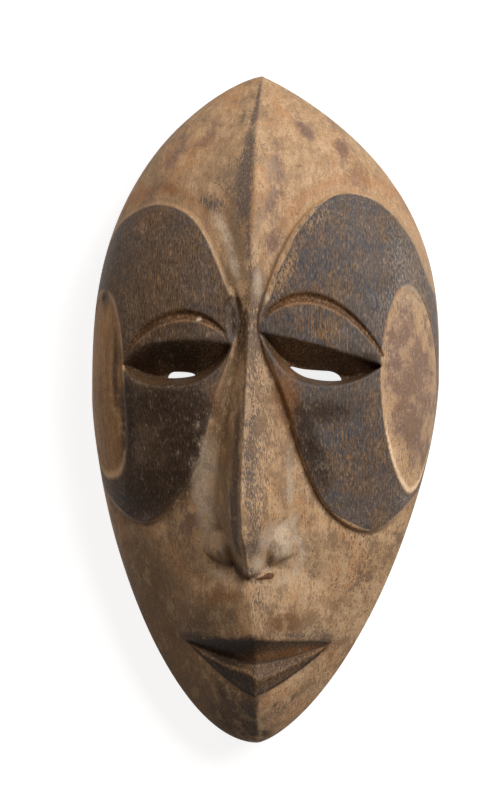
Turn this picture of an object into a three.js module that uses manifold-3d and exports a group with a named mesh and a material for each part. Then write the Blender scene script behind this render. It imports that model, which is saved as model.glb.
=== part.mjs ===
// A small African face mask carved from one block of light wood, lying on its flat back edge.
// The carver's shapes, from large to small: an almond-shaped hull with a sharp ridge down the middle,
// a long wedge nose, a muzzle over a pointed mouth, a raised field round each eye, a hollowed oval at
// each temple, a brow groove, and an eye cut as a deep V that breaks through as a slit.
// Millimetres. +X is the viewer's right, +Y the crown, +Z the way the face looks. The flat back edge
// lies at z = 0 and the origin is the middle of the box's underside.
import * as THREE from "three";
import { mergeVertices } from "three/addons/utils/BufferGeometryUtils.js";
import Module from "manifold-3d";

const HALF_LENGTH = 75;

// Each quarter of the outline runs from the widest point to a tip: reach * (1 - t ** power) ** fall,
// drawn over to the tip's own x.
const OUTLINE = {
  right: {
    widest_y: 7,
    crown: { reach: 39.6, power: 2.9, fall: 0.9, tip_x: 0.3 },
    chin: { reach: 39.6, power: 1.6, fall: 0.67, tip_x: -1.2 },
  },
  left: {
    widest_y: 2.5,
    crown: { reach: 39.1, power: 2.75, fall: 0.73, tip_x: 0.3 },
    chin: { reach: 39.1, power: 1.52, fall: 0.535, tip_x: -1.2 },
  },
};

// Stations along the length. edge is the height of the widest line above the back and middle the height
// of the plain hull at the ridge; belly and fall shape the cross-section; ridge is what the ridge adds;
// keel is the ridge's x; tuck is the share by which the back edge is smaller than the widest line.
const STATIONS = [
  { y: -75, edge: 12.0, middle: 13.0, belly: 1.1, fall: 0.9, ridge: 0.0, keel: -1.2, tuck: 0.06 },
  { y: -64, edge: 12.0, middle: 22.6, belly: 1.1, fall: 0.9, ridge: 0.6, keel: 0.3, tuck: 0.06 },
  { y: -52, edge: 12.5, middle: 25.0, belly: 1.2, fall: 0.85, ridge: 0.6, keel: 0.2, tuck: 0.05 },
  { y: -40, edge: 12.5, middle: 28.0, belly: 1.4, fall: 0.75, ridge: 0.3, keel: 0.0, tuck: 0.045 },
  { y: -26, edge: 12.0, middle: 29.8, belly: 1.65, fall: 0.62, ridge: 0.0, keel: 0.0, tuck: 0.04 },
  { y: -10, edge: 10.0, middle: 30.3, belly: 2.1, fall: 0.5, ridge: 0.0, keel: 0.0, tuck: 0.03 },
  { y: 8, edge: 9.0, middle: 30.8, belly: 2.5, fall: 0.42, ridge: 0.0, keel: 0.2, tuck: 0.025 },
  { y: 28, edge: 8.5, middle: 31.2, belly: 2.4, fall: 0.42, ridge: 1.4, keel: 0.9, tuck: 0.02 },
  { y: 48, edge: 9.5, middle: 29.0, belly: 2.2, fall: 0.45, ridge: 1.9, keel: 1.2, tuck: 0.02 },
  { y: 62, edge: 12.0, middle: 24.2, belly: 1.9, fall: 0.5, ridge: 1.7, keel: 1.2, tuck: 0.02 },
  { y: 75, edge: 14.5, middle: 15.0, belly: 1.6, fall: 0.6, ridge: 0.8, keel: 0.6, tuck: 0.02 },
];
const RIDGE_REACH = 5;

// The hollow behind the face: its half length, its share of the outline's width, the wall over it, and
// the shape of the gouged trough across and along.
const HOLLOW = { half_length: 69, width: 0.878, wall: 6, across: 2.3, along: 5, fall: 0.5 };

// The nose: half its width at the foot and the height of its ridge.
const NOSE = [
  { y: -39, half: 3.2, ridge: 31.0 },
  { y: -38, half: 3.3, ridge: 31.6 },
  { y: -35, half: 3.7, ridge: 33.2 },
  { y: -31.5, half: 4.5, ridge: 36.6 },
  { y: -28.5, half: 5.7, ridge: 40.3 },
  { y: -25, half: 7.4, ridge: 41.7 },
  { y: -22, half: 8.1, ridge: 41.9 },
  { y: -16, half: 7.7, ridge: 40.8 },
  { y: -6, half: 6.3, ridge: 38.2 },
  { y: 4, half: 4.6, ridge: 35.4 },
  { y: 16, half: 2.9, ridge: 33.6 },
  { y: 30, half: 2.2, ridge: 33.0 },
];
const NOSE_TOP = { from_y: 26, to_y: 32 };
const NOSE_FOOT = { tip_y: -37.3, slope: 0.55, undercut: 0.5 };
const WINGS = {
  right: { x: 6.6, y: -31.0, half_width: 3.9, half_height: 5.0, height: 2.6 },
  left: { x: -6.7, y: -31.3, half_width: 3.7, half_height: 4.6, height: 2.3 },
};
const WING_BLEND = 1.4;

// The muzzle, and the mouth under it: a ledge, the parting of the lips, the crest of the lower lip and
// its foot, which all run together at the corners.
const MUZZLE = { y: -47, half_width: 18.8, half_height: 12, height: 2.4, fullness: 1.2 };
const MOUTH = {
  right: { half: 16.7, corner_y: -52.1, crest_y: -60.7, crest_bend: 1.3 },
  left: { half: 16.1, corner_y: -51.9, crest_y: -58.8, crest_bend: 1.7 },
  ledge_y: -51.4, parting_y: -56.9, foot_y: -64.3,
  parting_depth: 1.9, crest_height: 0.7, foot_depth: 0.3, blend: 2.0,
};

// The raised field round each eye: a closed smooth line from the nose root over the brow, round behind
// the temple and back under the cheek.
const FIELDS = {
  right: [
    [2.7, 17.6], [4.9, 28.2], [9.3, 38.6], [14.8, 45.6], [21.6, 48.4], [29.0, 45.6], [34.6, 38.4], [38.0, 29.0],
    [42.0, 12.0], [40.0, -8.0], [34.1, -20.4], [26.0, -27.1], [17.8, -22.6], [12.3, -11.6], [8.2, 2.2],
  ],
  left: [
    [-2.6, 18.4], [-5.6, 29.0], [-10.4, 39.4], [-15.2, 44.4], [-21.9, 46.0], [-28.6, 43.8], [-33.4, 39.2],
    [-37.6, 30.0], [-42.0, 12.0], [-40.0, -8.0], [-33.4, -20.2], [-23.9, -25.1], [-14.2, -16.6], [-10.2, -6.8],
    [-7.8, 2.2],
  ],
};
const RELIEF = { right: { rise: 0.8, scoop: 0.8 }, left: { rise: 0.6, scoop: 0.5 } };
const FIELD = { step: 0.55, scoop_reach: 3.2 };

// The hollowed oval at each temple, drawn on a plane that leans with the side of the head.
const OVALS = {
  right: { x: 35.5, y: 4.6, z: 19.3, half_girth: 9.3, half_length: 23.2, power: 1.85, tilt: 0.11 },
  left: { x: 35.0, y: 5.7, z: 20.0, half_girth: 8.4, half_length: 21.2, power: 2.6, tilt: 0 },
};
const OVAL = { lean: 58, depth: 1.1, step: 0.1 };
const OVAL_STEP_WIDTH = 10;

// Each eye: its corners; how far its upper edge, the lid, rises and its lower edge sags from the line
// between them, where along that line and with how full an arch; the width of the slope under the
// opening; the brow groove's ends and rise; and the slit's two ends, height and highest place.
const EYES = {
  right: {
    inner: [2.6, 17.4], outer: [29.3, 9.9],
    lid: { height: 0.9, middle: 0.5, fullness: 1.0 },
    sag: { height: 8.6, middle: 0.36, fullness: 0.9 },
    lower_slope: 1.1,
    brow_inner: [3.3, 20.2], brow_outer: [29.7, 11.6], brow_rise: 8.6,
    slit: [8.4, 19.7], slit_height: 2.2, slit_middle: 0.73,
  },
  left: {
    inner: [-4.0, 14.8], outer: [-29.4, 10.3],
    lid: { height: 3.4, middle: 0.72, fullness: 1.1 },
    sag: { height: 7.5, middle: 0.4, fullness: 0.6 },
    lower_slope: 2.0,
    brow_inner: [-5.4, 16.9], brow_outer: [-28.8, 12.4], brow_rise: 6.4,
    slit: [-13.2, -19.9], slit_height: 1.4, slit_middle: 0.75,
  },
};
const BROW_GROOVE = { half_width: 1.3, depth: 1.1 };
const SLIT_WALL = 1;
const SLIT_RUN_OUT = 0.35;

// The grids that carry the face and the hollow. A row's share of the length grows where the face is
// plain and shrinks where it is carved.
const FACE_COLUMNS = 52;
const FACE_ROWS = [
  { from: -75, to: -66, count: 4 },
  { from: -66, to: -50, count: 15 },
  { from: -50, to: -39, count: 3 },
  { from: -39, to: -27, count: 8 },
  { from: -27, to: 3, count: 11 },
  { from: 3, to: 28, count: 20 },
  { from: 28, to: 50, count: 8 },
  { from: 50, to: 75, count: 6 },
];
const HOLLOW_COLUMNS = 18;
const HOLLOW_ROWS = [{ from: -75, to: 75, count: 26 }];
const COLUMN_CROWDING = 0.4;
const SLIDE_LIMIT = 0.49;
const CURVE_STEPS = 6;

const { abs, exp, hypot, max, min, PI, sin, cos, sqrt } = Math;
const clamp = (v, lo, hi) => min(max(v, lo), hi);
const lerp = (a, b, t) => a + (b - a) * t;

function smoothstep(from, to, v) {
  const t = clamp((v - from) / (to - from), 0, 1);
  return t * t * (3 - 2 * t);
}

// The larger of two heights, with the corner between them rounded over a distance.
function roundedMax(a, b, distance) {
  const h = clamp(0.5 + (0.5 * (a - b)) / distance, 0, 1);
  return lerp(b, a, h) + distance * h * (1 - h);
}

// A cubic between two values with given slopes.
function hermite(a, b, slopeA, slopeB, t) {
  const t2 = t * t;
  const t3 = t2 * t;
  return (2 * t3 - 3 * t2 + 1) * a + (t3 - 2 * t2 + t) * slopeA + (3 * t2 - 2 * t3) * b + (t3 - t2) * slopeB;
}

// A value read from a list of stations at y, eased between neighbours.
function along(stations, key, y) {
  const last = stations.length - 1;
  const at = clamp(stations.findIndex((s) => s.y > y), 1, last);
  const i = y >= stations[last].y ? last : at;
  const slope = (n) => {
    const [a, b] = [stations[max(n - 1, 0)], stations[min(n + 1, last)]];
    return (b[key] - a[key]) / (b.y - a.y);
  };
  const [a, b] = [stations[i - 1], stations[i]];
  const span = b.y - a.y;
  return hermite(a[key], b[key], slope(i - 1) * span, slope(i) * span, clamp((y - a.y) / span, 0, 1));
}

const sideOf = (x) => (x >= 0 ? "right" : "left");

// The outline's x on one side at y.
function outlineX(side, y) {
  const { widest_y, crown, chin } = OUTLINE[side];
  const quarter = y > widest_y ? crown : chin;
  const t = clamp(abs(y - widest_y) / (HALF_LENGTH - widest_y * (y > widest_y ? 1 : -1)), 0, 1);
  const reach = quarter.reach * (1 - t ** quarter.power) ** quarter.fall;
  return (side === "right" ? reach : -reach) + quarter.tip_x * t ** 4;
}

// Where a point stands between the ridge, 0, and the outline, 1.
function shareAcross(x, y) {
  const keel = along(STATIONS, "keel", y);
  const end = outlineX(x >= keel ? "right" : "left", y);
  return clamp((x - keel) / (abs(end - keel) > 1e-6 ? end - keel : 1e-6), 0, 1);
}

function hull(x, y) {
  const share = shareAcross(x, y);
  const edge = along(STATIONS, "edge", y);
  const section = (1 - share ** along(STATIONS, "belly", y)) ** along(STATIONS, "fall", y);
  const offRidge = abs(x - along(STATIONS, "keel", y));
  const ridge = along(STATIONS, "ridge", y) * exp(-offRidge / RIDGE_REACH) * sqrt(1 - share);
  return edge + (along(STATIONS, "middle", y) - edge) * section + ridge;
}

// The underside of the shell, over the hollow.
function hollowX(side, y) {
  return lerp(along(STATIONS, "keel", y), outlineX(side, (y * HALF_LENGTH) / HOLLOW.half_length), HOLLOW.width);
}

function hollowHeight(x, y) {
  const keel = along(STATIONS, "keel", y);
  const end = hollowX(x >= keel ? "right" : "left", y);
  const share = clamp((x - keel) / (abs(end - keel) > 1e-6 ? end - keel : 1e-6), 0, 1);
  const length = clamp(abs(y) / HOLLOW.half_length, 0, 1);
  const top = along(STATIONS, "middle", y) - HOLLOW.wall;
  return top * (1 - share ** HOLLOW.across) ** HOLLOW.fall * (1 - length ** HOLLOW.along) ** HOLLOW.fall;
}

const noseFoot = (x) => NOSE_FOOT.tip_y + NOSE_FOOT.slope * abs(x);

function withNose(x, y, z) {
  if (y > NOSE_TOP.to_y || y < noseFoot(x) - NOSE_FOOT.undercut) return z;
  const t = clamp(abs(x - along(STATIONS, "keel", y)) / along(NOSE, "half", y), 0, 2);
  const wedge = lerp(along(NOSE, "ridge", y), z - 0.5, t ** 0.95);
  let nose = roundedMax(wedge, z - 0.35, 1);
  const wing = WINGS[sideOf(x)];
  const off = ((x - wing.x) / wing.half_width) ** 2 + ((y - wing.y) / wing.half_height) ** 2;
  nose = roundedMax(nose, z + wing.height * (1 - min(off, 3)) - WING_BLEND / 4, WING_BLEND);
  const on = smoothstep(-NOSE_FOOT.undercut, 0, y - noseFoot(x)) * smoothstep(NOSE_TOP.to_y, NOSE_TOP.from_y, y);
  return lerp(z, max(nose, z), on);
}

// The lines of the mouth at x, and how far x still is from the corner.
function mouthLines(x) {
  const { half, corner_y, crest_bend } = MOUTH[sideOf(x)];
  const t = clamp(abs(x) / half, 0, 1);
  const crest = lerp(MOUTH.left.crest_y, MOUTH.right.crest_y, smoothstep(-1.6, 1.6, x));
  return {
    ledge: lerp(MOUTH.ledge_y, corner_y + 0.3, sqrt(t)),
    parting: lerp(MOUTH.parting_y, corner_y, t ** 1.5),
    crest: lerp(crest, corner_y - 0.15, t ** crest_bend),
    foot: lerp(MOUTH.foot_y, corner_y - 0.3, t ** 1.3),
    within: 1 - t,
  };
}

function muzzleSwell(x, y) {
  const off = (abs(x) / MUZZLE.half_width) ** 3.2 + ((y - MUZZLE.y) / MUZZLE.half_height) ** 2;
  return MUZZLE.height * max(1 - off, 0) ** MUZZLE.fullness;
}

function withMouth(x, y, z) {
  const lines = mouthLines(x);
  if (y > lines.ledge || lines.within === 0) return z + muzzleSwell(x, y);
  const depth = lines.within ** 0.55;
  const parting = -MOUTH.parting_depth * depth;
  const crest = MOUTH.crest_height * depth;
  const foot = -MOUTH.foot_depth * depth;
  if (y > lines.parting) {
    const t = (lines.ledge - y) / (lines.ledge - lines.parting);
    return z + lerp(muzzleSwell(x, lines.ledge), parting, t ** 0.8);
  }
  if (y > lines.crest) return z + lerp(parting, crest, ((lines.parting - y) / (lines.parting - lines.crest)) ** 0.9);
  if (y > lines.foot) return z + lerp(crest, foot, (lines.crest - y) / (lines.crest - lines.foot));
  return z + lerp(foot, 0, smoothstep(0, MOUTH.blend, lines.foot - y));
}

// A closed smooth line through a few points, and the distance to it: negative inside.
function closedLine(points) {
  const line = [];
  const at = (n) => points[(n + points.length) % points.length];
  points.forEach((point, n) => {
    for (let step = 0; step < CURVE_STEPS; step++) {
      line.push([0, 1].map((axis) => {
        const [before, a, b, after] = [at(n - 1)[axis], point[axis], at(n + 1)[axis], at(n + 2)[axis]];
        return hermite(a, b, (b - before) / 2, (after - a) / 2, step / CURVE_STEPS);
      }));
    }
  });
  return line;
}
const fieldLines = { right: closedLine(FIELDS.right), left: closedLine(FIELDS.left) };

function distanceTo(line, x, y) {
  let nearest = Infinity;
  let inside = false;
  line.forEach(([ax, ay], i) => {
    const [bx, by] = line[(i + 1) % line.length];
    const [dx, dy] = [bx - ax, by - ay];
    const t = clamp(((x - ax) * dx + (y - ay) * dy) / (dx * dx + dy * dy), 0, 1);
    nearest = min(nearest, hypot(x - ax - t * dx, y - ay - t * dy));
    if (ay > y !== by > y && x < ax + ((y - ay) / dy) * dx) inside = !inside;
  });
  return inside ? -nearest : nearest;
}
const fieldDistance = (x, y) => distanceTo(fieldLines[sideOf(x)], x, y);

function withFields(x, y, z) {
  const d = fieldDistance(x, y);
  const relief = RELIEF[sideOf(x)];
  const rise = relief.rise * smoothstep(FIELD.step, 0, d);
  const scoop = relief.scoop * exp(-max(d, 0) / FIELD.scoop_reach) * smoothstep(-0.1, FIELD.step, d);
  return z + (rise - scoop) * smoothstep(1, 0.9, shareAcross(x, y));
}

// Where a point stands on the temple's own plane: under 1 is inside the oval.
function ovalAt(x, y, z) {
  const lean = THREE.MathUtils.degToRad(OVAL.lean);
  const oval = OVALS[sideOf(x)];
  const offAxis = (abs(x) - oval.x) * cos(lean) - (z - oval.z) * sin(lean) + oval.tilt * (y - oval.y);
  const girth = abs(offAxis) / oval.half_girth;
  const length = abs(y - oval.y) / oval.half_length;
  return (girth ** oval.power + length ** oval.power) ** (1 / oval.power);
}

// An arch from 0 at t = 0 to 1 at t = middle and back to 0 at t = 1.
function arch(t, middle, fullness) {
  const u = t < middle ? (middle - t) / middle : (t - middle) / (1 - middle);
  return max(1 - u * u, 0) ** fullness;
}

// The lines of one eye at x, with the share of the way from its inner to its outer corner.
function eyeLines(eye, x) {
  const share = ([x0], [x1]) => (x - x0) / (x1 - x0);
  const t = share(eye.inner, eye.outer);
  const browT = share(eye.brow_inner, eye.brow_outer);
  const slitT = share(eye.slit.slice(0, 1), eye.slit.slice(1));
  const bow = ({ height, middle, fullness }) => height * arch(clamp(t, 0, 1), middle, fullness);
  const chord = lerp(eye.inner[1], eye.outer[1], t);
  const lower = chord - bow(eye.sag);
  const upper = chord + bow(eye.lid);
  const bottom = min(lower + eye.lower_slope, lerp(lower, upper, 0.45));
  const opening = arch(clamp(slitT, 0, 1), eye.slit_middle, 0.6);
  const runOut = arch(clamp((slitT + SLIT_RUN_OUT) / (1 + 2 * SLIT_RUN_OUT), 0, 1), 0.5, 1.5);
  const brow = lerp(eye.brow_inner[1], eye.brow_outer[1], browT) + eye.brow_rise * arch(clamp(browT, 0, 1), 0.5, 0.85);
  return {
    t, browT, lower, upper, bottom, brow,
    slitTop: bottom + eye.slit_height * opening,
    floorTop: bottom + eye.slit_height * runOut,
  };
}

function withEye(x, y, z) {
  const lines = eyeLines(EYES[sideOf(x)], x);
  let out = z;
  if (lines.browT > 0 && lines.browT < 1) {
    const reach = BROW_GROOVE.half_width * (0.4 + 0.6 * arch(lines.browT, 0.5, 0.6));
    out -= BROW_GROOVE.depth * max(1 - abs(y - lines.brow) / reach, 0);
  }
  if (lines.t <= 0 || lines.t >= 1 || y >= lines.upper || y <= lines.lower) return out;
  const floor = min(hollowHeight(x, y) + SLIT_WALL, out);
  const deep = lerp(out, floor, arch(lines.t, 0.42, 0.5));
  const up = clamp((y - lines.floorTop) / max(lines.upper - lines.floorTop, 1e-6), 0, 1);
  const down = clamp((lines.bottom - y) / max(lines.bottom - lines.lower, 1e-6), 0, 1);
  return lerp(deep, out, max(up ** 0.9, down));
}

// The front up to the fields, which is what the ovals are drawn on, and the finished front.
const carved = (x, y) => withFields(x, y, withNose(x, y, withMouth(x, y, hull(x, y))));

function face(x, y) {
  const z = carved(x, y);
  return withEye(x, y, z - OVAL.depth * smoothstep(1, 1 - OVAL.step, ovalAt(x, y, z)));
}

// The carving's crisp lines near a point. Each value is zero on its line.
function carvedLines(x, y) {
  const eye = eyeLines(EYES[sideOf(x)], x);
  const mouth = mouthLines(x);
  const list = [fieldDistance(x, y)];
  if (eye.t > 0.02 && eye.t < 0.98) list.push(y - eye.upper, y - eye.lower, y - eye.bottom, y - eye.floorTop);
  if (eye.browT > 0.03 && eye.browT < 0.97) {
    list.push(y - eye.brow, y - eye.brow - BROW_GROOVE.half_width, y - eye.brow + BROW_GROOVE.half_width);
  }
  if (abs(x) < 11) list.push(y - noseFoot(x));
  const offRidge = abs(x - along(STATIONS, "keel", y));
  if (offRidge > 0.5 && y > -26 && y < NOSE_TOP.from_y) list.push(offRidge - along(NOSE, "half", y));
  if (mouth.within > 0.03) list.push(y - mouth.ledge, y - mouth.parting, y - mouth.crest, y - mouth.foot);
  if (abs(x) > 22 && shareAcross(x, y) < 0.97) {
    const oval = ovalAt(x, y, carved(x, y));
    list.push((oval - 1) * OVAL_STEP_WIDTH, (oval - 1 + OVAL.step) * OVAL_STEP_WIDTH);
  }
  return list;
}

// Grid points slide onto the nearest carved line, by less than half the way to their neighbours.
function slideOntoLine(x, y, reachX, reachY, onRidge) {
  const step = 0.01;
  const here = carvedLines(x, y);
  const right = carvedLines(x + step, y);
  const up = carvedLines(x, y + step);
  if (right.length !== here.length || up.length !== here.length) return [x, y];
  let best = { away: 1, x, y };
  here.forEach((value, i) => {
    const gx = onRidge ? 0 : (right[i] - value) / step;
    const gy = (up[i] - value) / step;
    const steep = gx * gx + gy * gy;
    if (steep < 0.05) return;
    const moves = [[(-value * gx) / steep, (-value * gy) / steep]];
    if (abs(gx) > 0.2) moves.push([-value / gx, 0]);
    if (abs(gy) > 0.2) moves.push([0, -value / gy]);
    for (const [dx, dy] of moves) {
      const away = max(abs(dx) / reachX, abs(dy) / reachY);
      if (away < best.away) best = { away, x: x + dx, y: y + dy };
    }
  });
  return [best.x, best.y];
}

// A square grid bent onto the outline, closer together towards its edge where the sides are steep.
function onOutline(a, b, sideX, halfLength) {
  const [p, q] = [a * sqrt(1 - (b * b) / 2), b * sqrt(1 - (a * a) / 2)];
  const radius = hypot(p, q);
  const stretch = radius > 1e-9 ? sin((min(radius, 1) * PI) / 2) / radius : PI / 2;
  const rise = clamp(q * stretch, -1, 1);
  const width = sqrt(1 - rise * rise);
  const y = halfLength * rise;
  const keel = along(STATIONS, "keel", y);
  const share = width > 1e-6 ? clamp((p * stretch) / width, -1, 1) : 0;
  return { x: keel + abs(share) * (sideX(share >= 0 ? "right" : "left", y) - keel), y, edge: radius > 1 - 1e-9 };
}

// The places of the grid's rows from -1 to 1, such that those on the ridge stand at the listed heights.
function rowPlaces(rows) {
  const places = [-1];
  for (const { from, to, count } of rows) {
    for (let n = 1; n <= count; n++) places.push(Math.asin(lerp(from, to, n / count) / HALF_LENGTH) / (PI / 2));
  }
  return places;
}

function gridPoints(columns, rows, place) {
  const points = [];
  rows.forEach((b, j) => {
    for (let i = 0; i <= columns; i++) {
      const even = (2 * i) / columns - 1;
      const a = even * (1 - COLUMN_CROWDING) + even ** 3 * COLUMN_CROWDING;
      points.push(place(a, b, i, j));
    }
  });
  return points;
}

// The grid's border, anticlockwise seen from the front.
function borderOf(columns, rows) {
  const at = (i, j) => j * (columns + 1) + i;
  const ring = [];
  for (let i = 0; i < columns; i++) ring.push(at(i, 0));
  for (let j = 0; j < rows; j++) ring.push(at(columns, j));
  for (let i = columns; i > 0; i--) ring.push(at(i, rows));
  for (let j = rows; j > 0; j--) ring.push(at(0, j));
  return ring;
}

// Two triangles for each cell, split along the diagonal that lies closer to the true surface.
function gridTriangles(points, columns, rows, height) {
  const miss = (p, q) => abs(height((p.x + q.x) / 2, (p.y + q.y) / 2) - (p.z + q.z) / 2);
  const triangles = [];
  for (let j = 0; j < rows; j++) {
    for (let i = 0; i < columns; i++) {
      const a = j * (columns + 1) + i;
      const [b, c, d] = [a + 1, a + columns + 2, a + columns + 1];
      if (miss(points[a], points[c]) <= miss(points[b], points[d])) triangles.push([a, b, c], [a, c, d]);
      else triangles.push([a, b, d], [b, c, d]);
    }
  }
  return triangles;
}

// A closed block: a grid on top, a wall round it and a flat cap below.
function block(points, triangles, ring, place) {
  const lower = ring.map((k, n) => points.length + n);
  const vertices = [...points, ...ring.map((k) => place(points[k]))];
  const faces = [...triangles];
  ring.forEach((upper, n) => {
    const next = (n + 1) % ring.length;
    faces.push([upper, lower[n], ring[next]], [ring[next], lower[n], lower[next]]);
  });
  const contour = lower.map((k) => new THREE.Vector2(vertices[k].x, vertices[k].y));
  for (const [a, b, c] of THREE.ShapeUtils.triangulateShape(contour, [])) faces.push([lower[a], lower[c], lower[b]]);
  return new THREE.BufferGeometry().setFromPoints(faces.flat().map((k) => vertices[k]));
}

const wasm = await Module();
wasm.setup();

function solid(geometry) {
  const { index, attributes } = mergeVertices(geometry, 1e-4);
  const whole = [];
  for (let i = 0; i < index.count; i += 3) {
    const corners = [index.getX(i), index.getX(i + 1), index.getX(i + 2)];
    if (new Set(corners).size === 3) whole.push(...corners);
  }
  return new wasm.Manifold(
    new wasm.Mesh({ numProp: 3, vertProperties: attributes.position.array, triVerts: new Uint32Array(whole) }),
  );
}

// The block of wood with its carved front.
function carvedBlock() {
  const places = rowPlaces(FACE_ROWS);
  const rows = places.length - 1;
  const points = gridPoints(FACE_COLUMNS, places, (a, b, i, j) => {
    const here = onOutline(a, b, outlineX, HALF_LENGTH);
    if (here.edge) return new THREE.Vector3(here.x, here.y, along(STATIONS, "edge", here.y));
    const beside = onOutline(a + 0.5 / FACE_COLUMNS, b, outlineX, HALF_LENGTH);
    const below = onOutline(a, places[max(j - 1, 0)], outlineX, HALF_LENGTH);
    const above = onOutline(a, places[min(j + 1, rows)], outlineX, HALF_LENGTH);
    const reachX = SLIDE_LIMIT * 2 * abs(beside.x - here.x);
    const reachY = SLIDE_LIMIT * min(here.y - below.y, above.y - here.y);
    const [x, y] = slideOntoLine(here.x, here.y, reachX, reachY, i === FACE_COLUMNS / 2);
    return new THREE.Vector3(x, y, face(x, y));
  });
  const wall = (p) => {
    const shrink = 1 - along(STATIONS, "tuck", p.y);
    return new THREE.Vector3(p.x * shrink, p.y * shrink, 0);
  };
  return block(points, gridTriangles(points, FACE_COLUMNS, rows, face), borderOf(FACE_COLUMNS, rows), wall);
}

// What the gouge takes out behind the face, reaching a little under the back edge.
function hollowBlock() {
  const places = rowPlaces(HOLLOW_ROWS);
  const rows = places.length - 1;
  const points = gridPoints(HOLLOW_COLUMNS, places, (a, b) => {
    const { x, y, edge } = onOutline(a, b, hollowX, HOLLOW.half_length);
    return new THREE.Vector3(x, y, edge ? 0 : hollowHeight(x, y));
  });
  const triangles = gridTriangles(points, HOLLOW_COLUMNS, rows, hollowHeight);
  return block(points, triangles, borderOf(HOLLOW_COLUMNS, rows), (p) => new THREE.Vector3(p.x, p.y, -3));
}

// The slit that breaks through the bottom of one eye.
function slitBlock(eye) {
  const steps = 10;
  const lower = [];
  const upper = [];
  for (let n = 0; n <= steps; n++) {
    const x = lerp(eye.slit[0], eye.slit[1], n / steps);
    const { bottom, slitTop } = eyeLines(eye, x);
    lower.push(new THREE.Vector2(x, bottom));
    if (n > 0 && n < steps) upper.unshift(new THREE.Vector2(x, slitTop));
  }
  const prism = new THREE.ExtrudeGeometry(new THREE.Shape([...lower, ...upper]), { depth: 60, bevelEnabled: false });
  prism.translate(0, 0, -5);
  prism.deleteAttribute("normal");
  prism.deleteAttribute("uv");
  return prism;
}

function geometryOf(manifold) {
  const { numVert, numProp, vertProperties, triVerts } = manifold.getMesh();
  const position = new Float32Array(numVert * 3);
  for (let i = 0; i < numVert; i++) position.set(vertProperties.subarray(i * numProp, i * numProp + 3), i * 3);
  const geometry = new THREE.BufferGeometry();
  geometry.setAttribute("position", new THREE.BufferAttribute(position, 3));
  geometry.setIndex(new THREE.BufferAttribute(new Uint32Array(triVerts), 1));
  geometry.computeVertexNormals();
  return geometry;
}

let carving = solid(carvedBlock()).subtract(solid(hollowBlock()));
for (const eye of Object.values(EYES)) carving = carving.subtract(solid(slitBlock(eye)));

const wood = new THREE.MeshStandardMaterial({ color: 0x8a6a48, roughness: 0.78, metalness: 0 });
const mask = new THREE.Mesh(geometryOf(carving), wood);
mask.name = "mask";

const model = new THREE.Group();
model.add(mask);

export default model;
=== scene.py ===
# %% [markdown]
# # A miniature face mask, carved from one block of light wood
# The real mask is a little shorter than a hand is long. Its carver roughed out an almond-shaped hull
# with a ridge down the middle, left a long wedge nose and a pointed mouth standing, raised a dark stained
# field round each eye, hollowed an oval at each temple, and cut each eye as a deep V that breaks through
# as a slit. It has no stand and can't stay up by itself, so it lies on its flat back edge and looks up.
#
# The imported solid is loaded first. It has the true main forms, in few faces. This notebook lays a finer
# skin in its place, from the same measurements, with the marks of the tools and of long handling.

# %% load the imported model
import math

import bmesh
import bpy
import numpy as np
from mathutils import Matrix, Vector


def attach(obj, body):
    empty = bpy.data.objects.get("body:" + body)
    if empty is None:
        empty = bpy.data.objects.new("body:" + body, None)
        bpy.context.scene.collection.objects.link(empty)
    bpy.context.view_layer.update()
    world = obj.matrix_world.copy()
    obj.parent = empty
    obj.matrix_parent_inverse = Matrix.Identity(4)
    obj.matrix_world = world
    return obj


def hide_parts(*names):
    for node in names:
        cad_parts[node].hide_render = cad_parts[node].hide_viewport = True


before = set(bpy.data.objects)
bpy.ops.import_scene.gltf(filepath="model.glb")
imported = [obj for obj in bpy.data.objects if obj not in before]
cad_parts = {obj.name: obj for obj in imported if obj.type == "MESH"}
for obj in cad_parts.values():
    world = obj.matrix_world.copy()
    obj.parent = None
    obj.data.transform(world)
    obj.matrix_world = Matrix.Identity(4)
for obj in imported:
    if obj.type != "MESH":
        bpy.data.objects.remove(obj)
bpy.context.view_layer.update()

MM = 0.001

# %% [markdown]
# ## A few helpers
# Every form below is a height in millimetres over a place (x, y) on the mask, worked out for whole
# arrays of places at once. Heights are joined with three old friends: an even mix, an eased step and a
# rounded maximum. Measurements that change along the mask are listed at stations, and read between them
# on a smooth curve. Small marks are slanting ellipses or soft lines.

# %% arrays in, arrays out
def mix(a, b, t):
    """a at t = 0 and b at t = 1: a + (b - a) t."""
    return a + (b - a) * t


def ease(start, end, v):
    """0 up to start, 1 from end, and 3 t² - 2 t³ between them."""
    t = np.clip((v - start) / (end - start), 0, 1)
    return t * t * (3 - 2 * t)


def rounded_max(a, b, distance):
    """The larger of two heights, with the corner between them rounded over a distance."""
    h = np.clip(0.5 + 0.5 * (a - b) / distance, 0, 1)
    return mix(b, a, h) + distance * h * (1 - h)


def cubic(a, b, slope_a, slope_b, t):
    """A cubic from a to b with the given slopes at its ends."""
    t2, t3 = t * t, t * t * t
    ends = (2 * t3 - 3 * t2 + 1) * a + (3 * t2 - 2 * t3) * b
    return ends + (t3 - 2 * t2 + t) * slope_a + (t3 - t2) * slope_b


def read(stations, key, y):
    """A value listed at stations, read at y on a cubic whose slopes join neighbour to neighbour."""
    places, values = np.array(stations["y"], float), np.array(stations[key], float)
    slopes = np.empty_like(values)
    slopes[1:-1] = (values[2:] - values[:-2]) / (places[2:] - places[:-2])
    slopes[0] = (values[1] - values[0]) / (places[1] - places[0])
    slopes[-1] = (values[-1] - values[-2]) / (places[-1] - places[-2])
    at = np.clip(y, places[0], places[-1])
    i = np.clip(np.searchsorted(places, at, side="right") - 1, 0, len(places) - 2)
    span = places[i + 1] - places[i]
    return cubic(values[i], values[i + 1], slopes[i] * span, slopes[i + 1] * span, (at - places[i]) / span)


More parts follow.
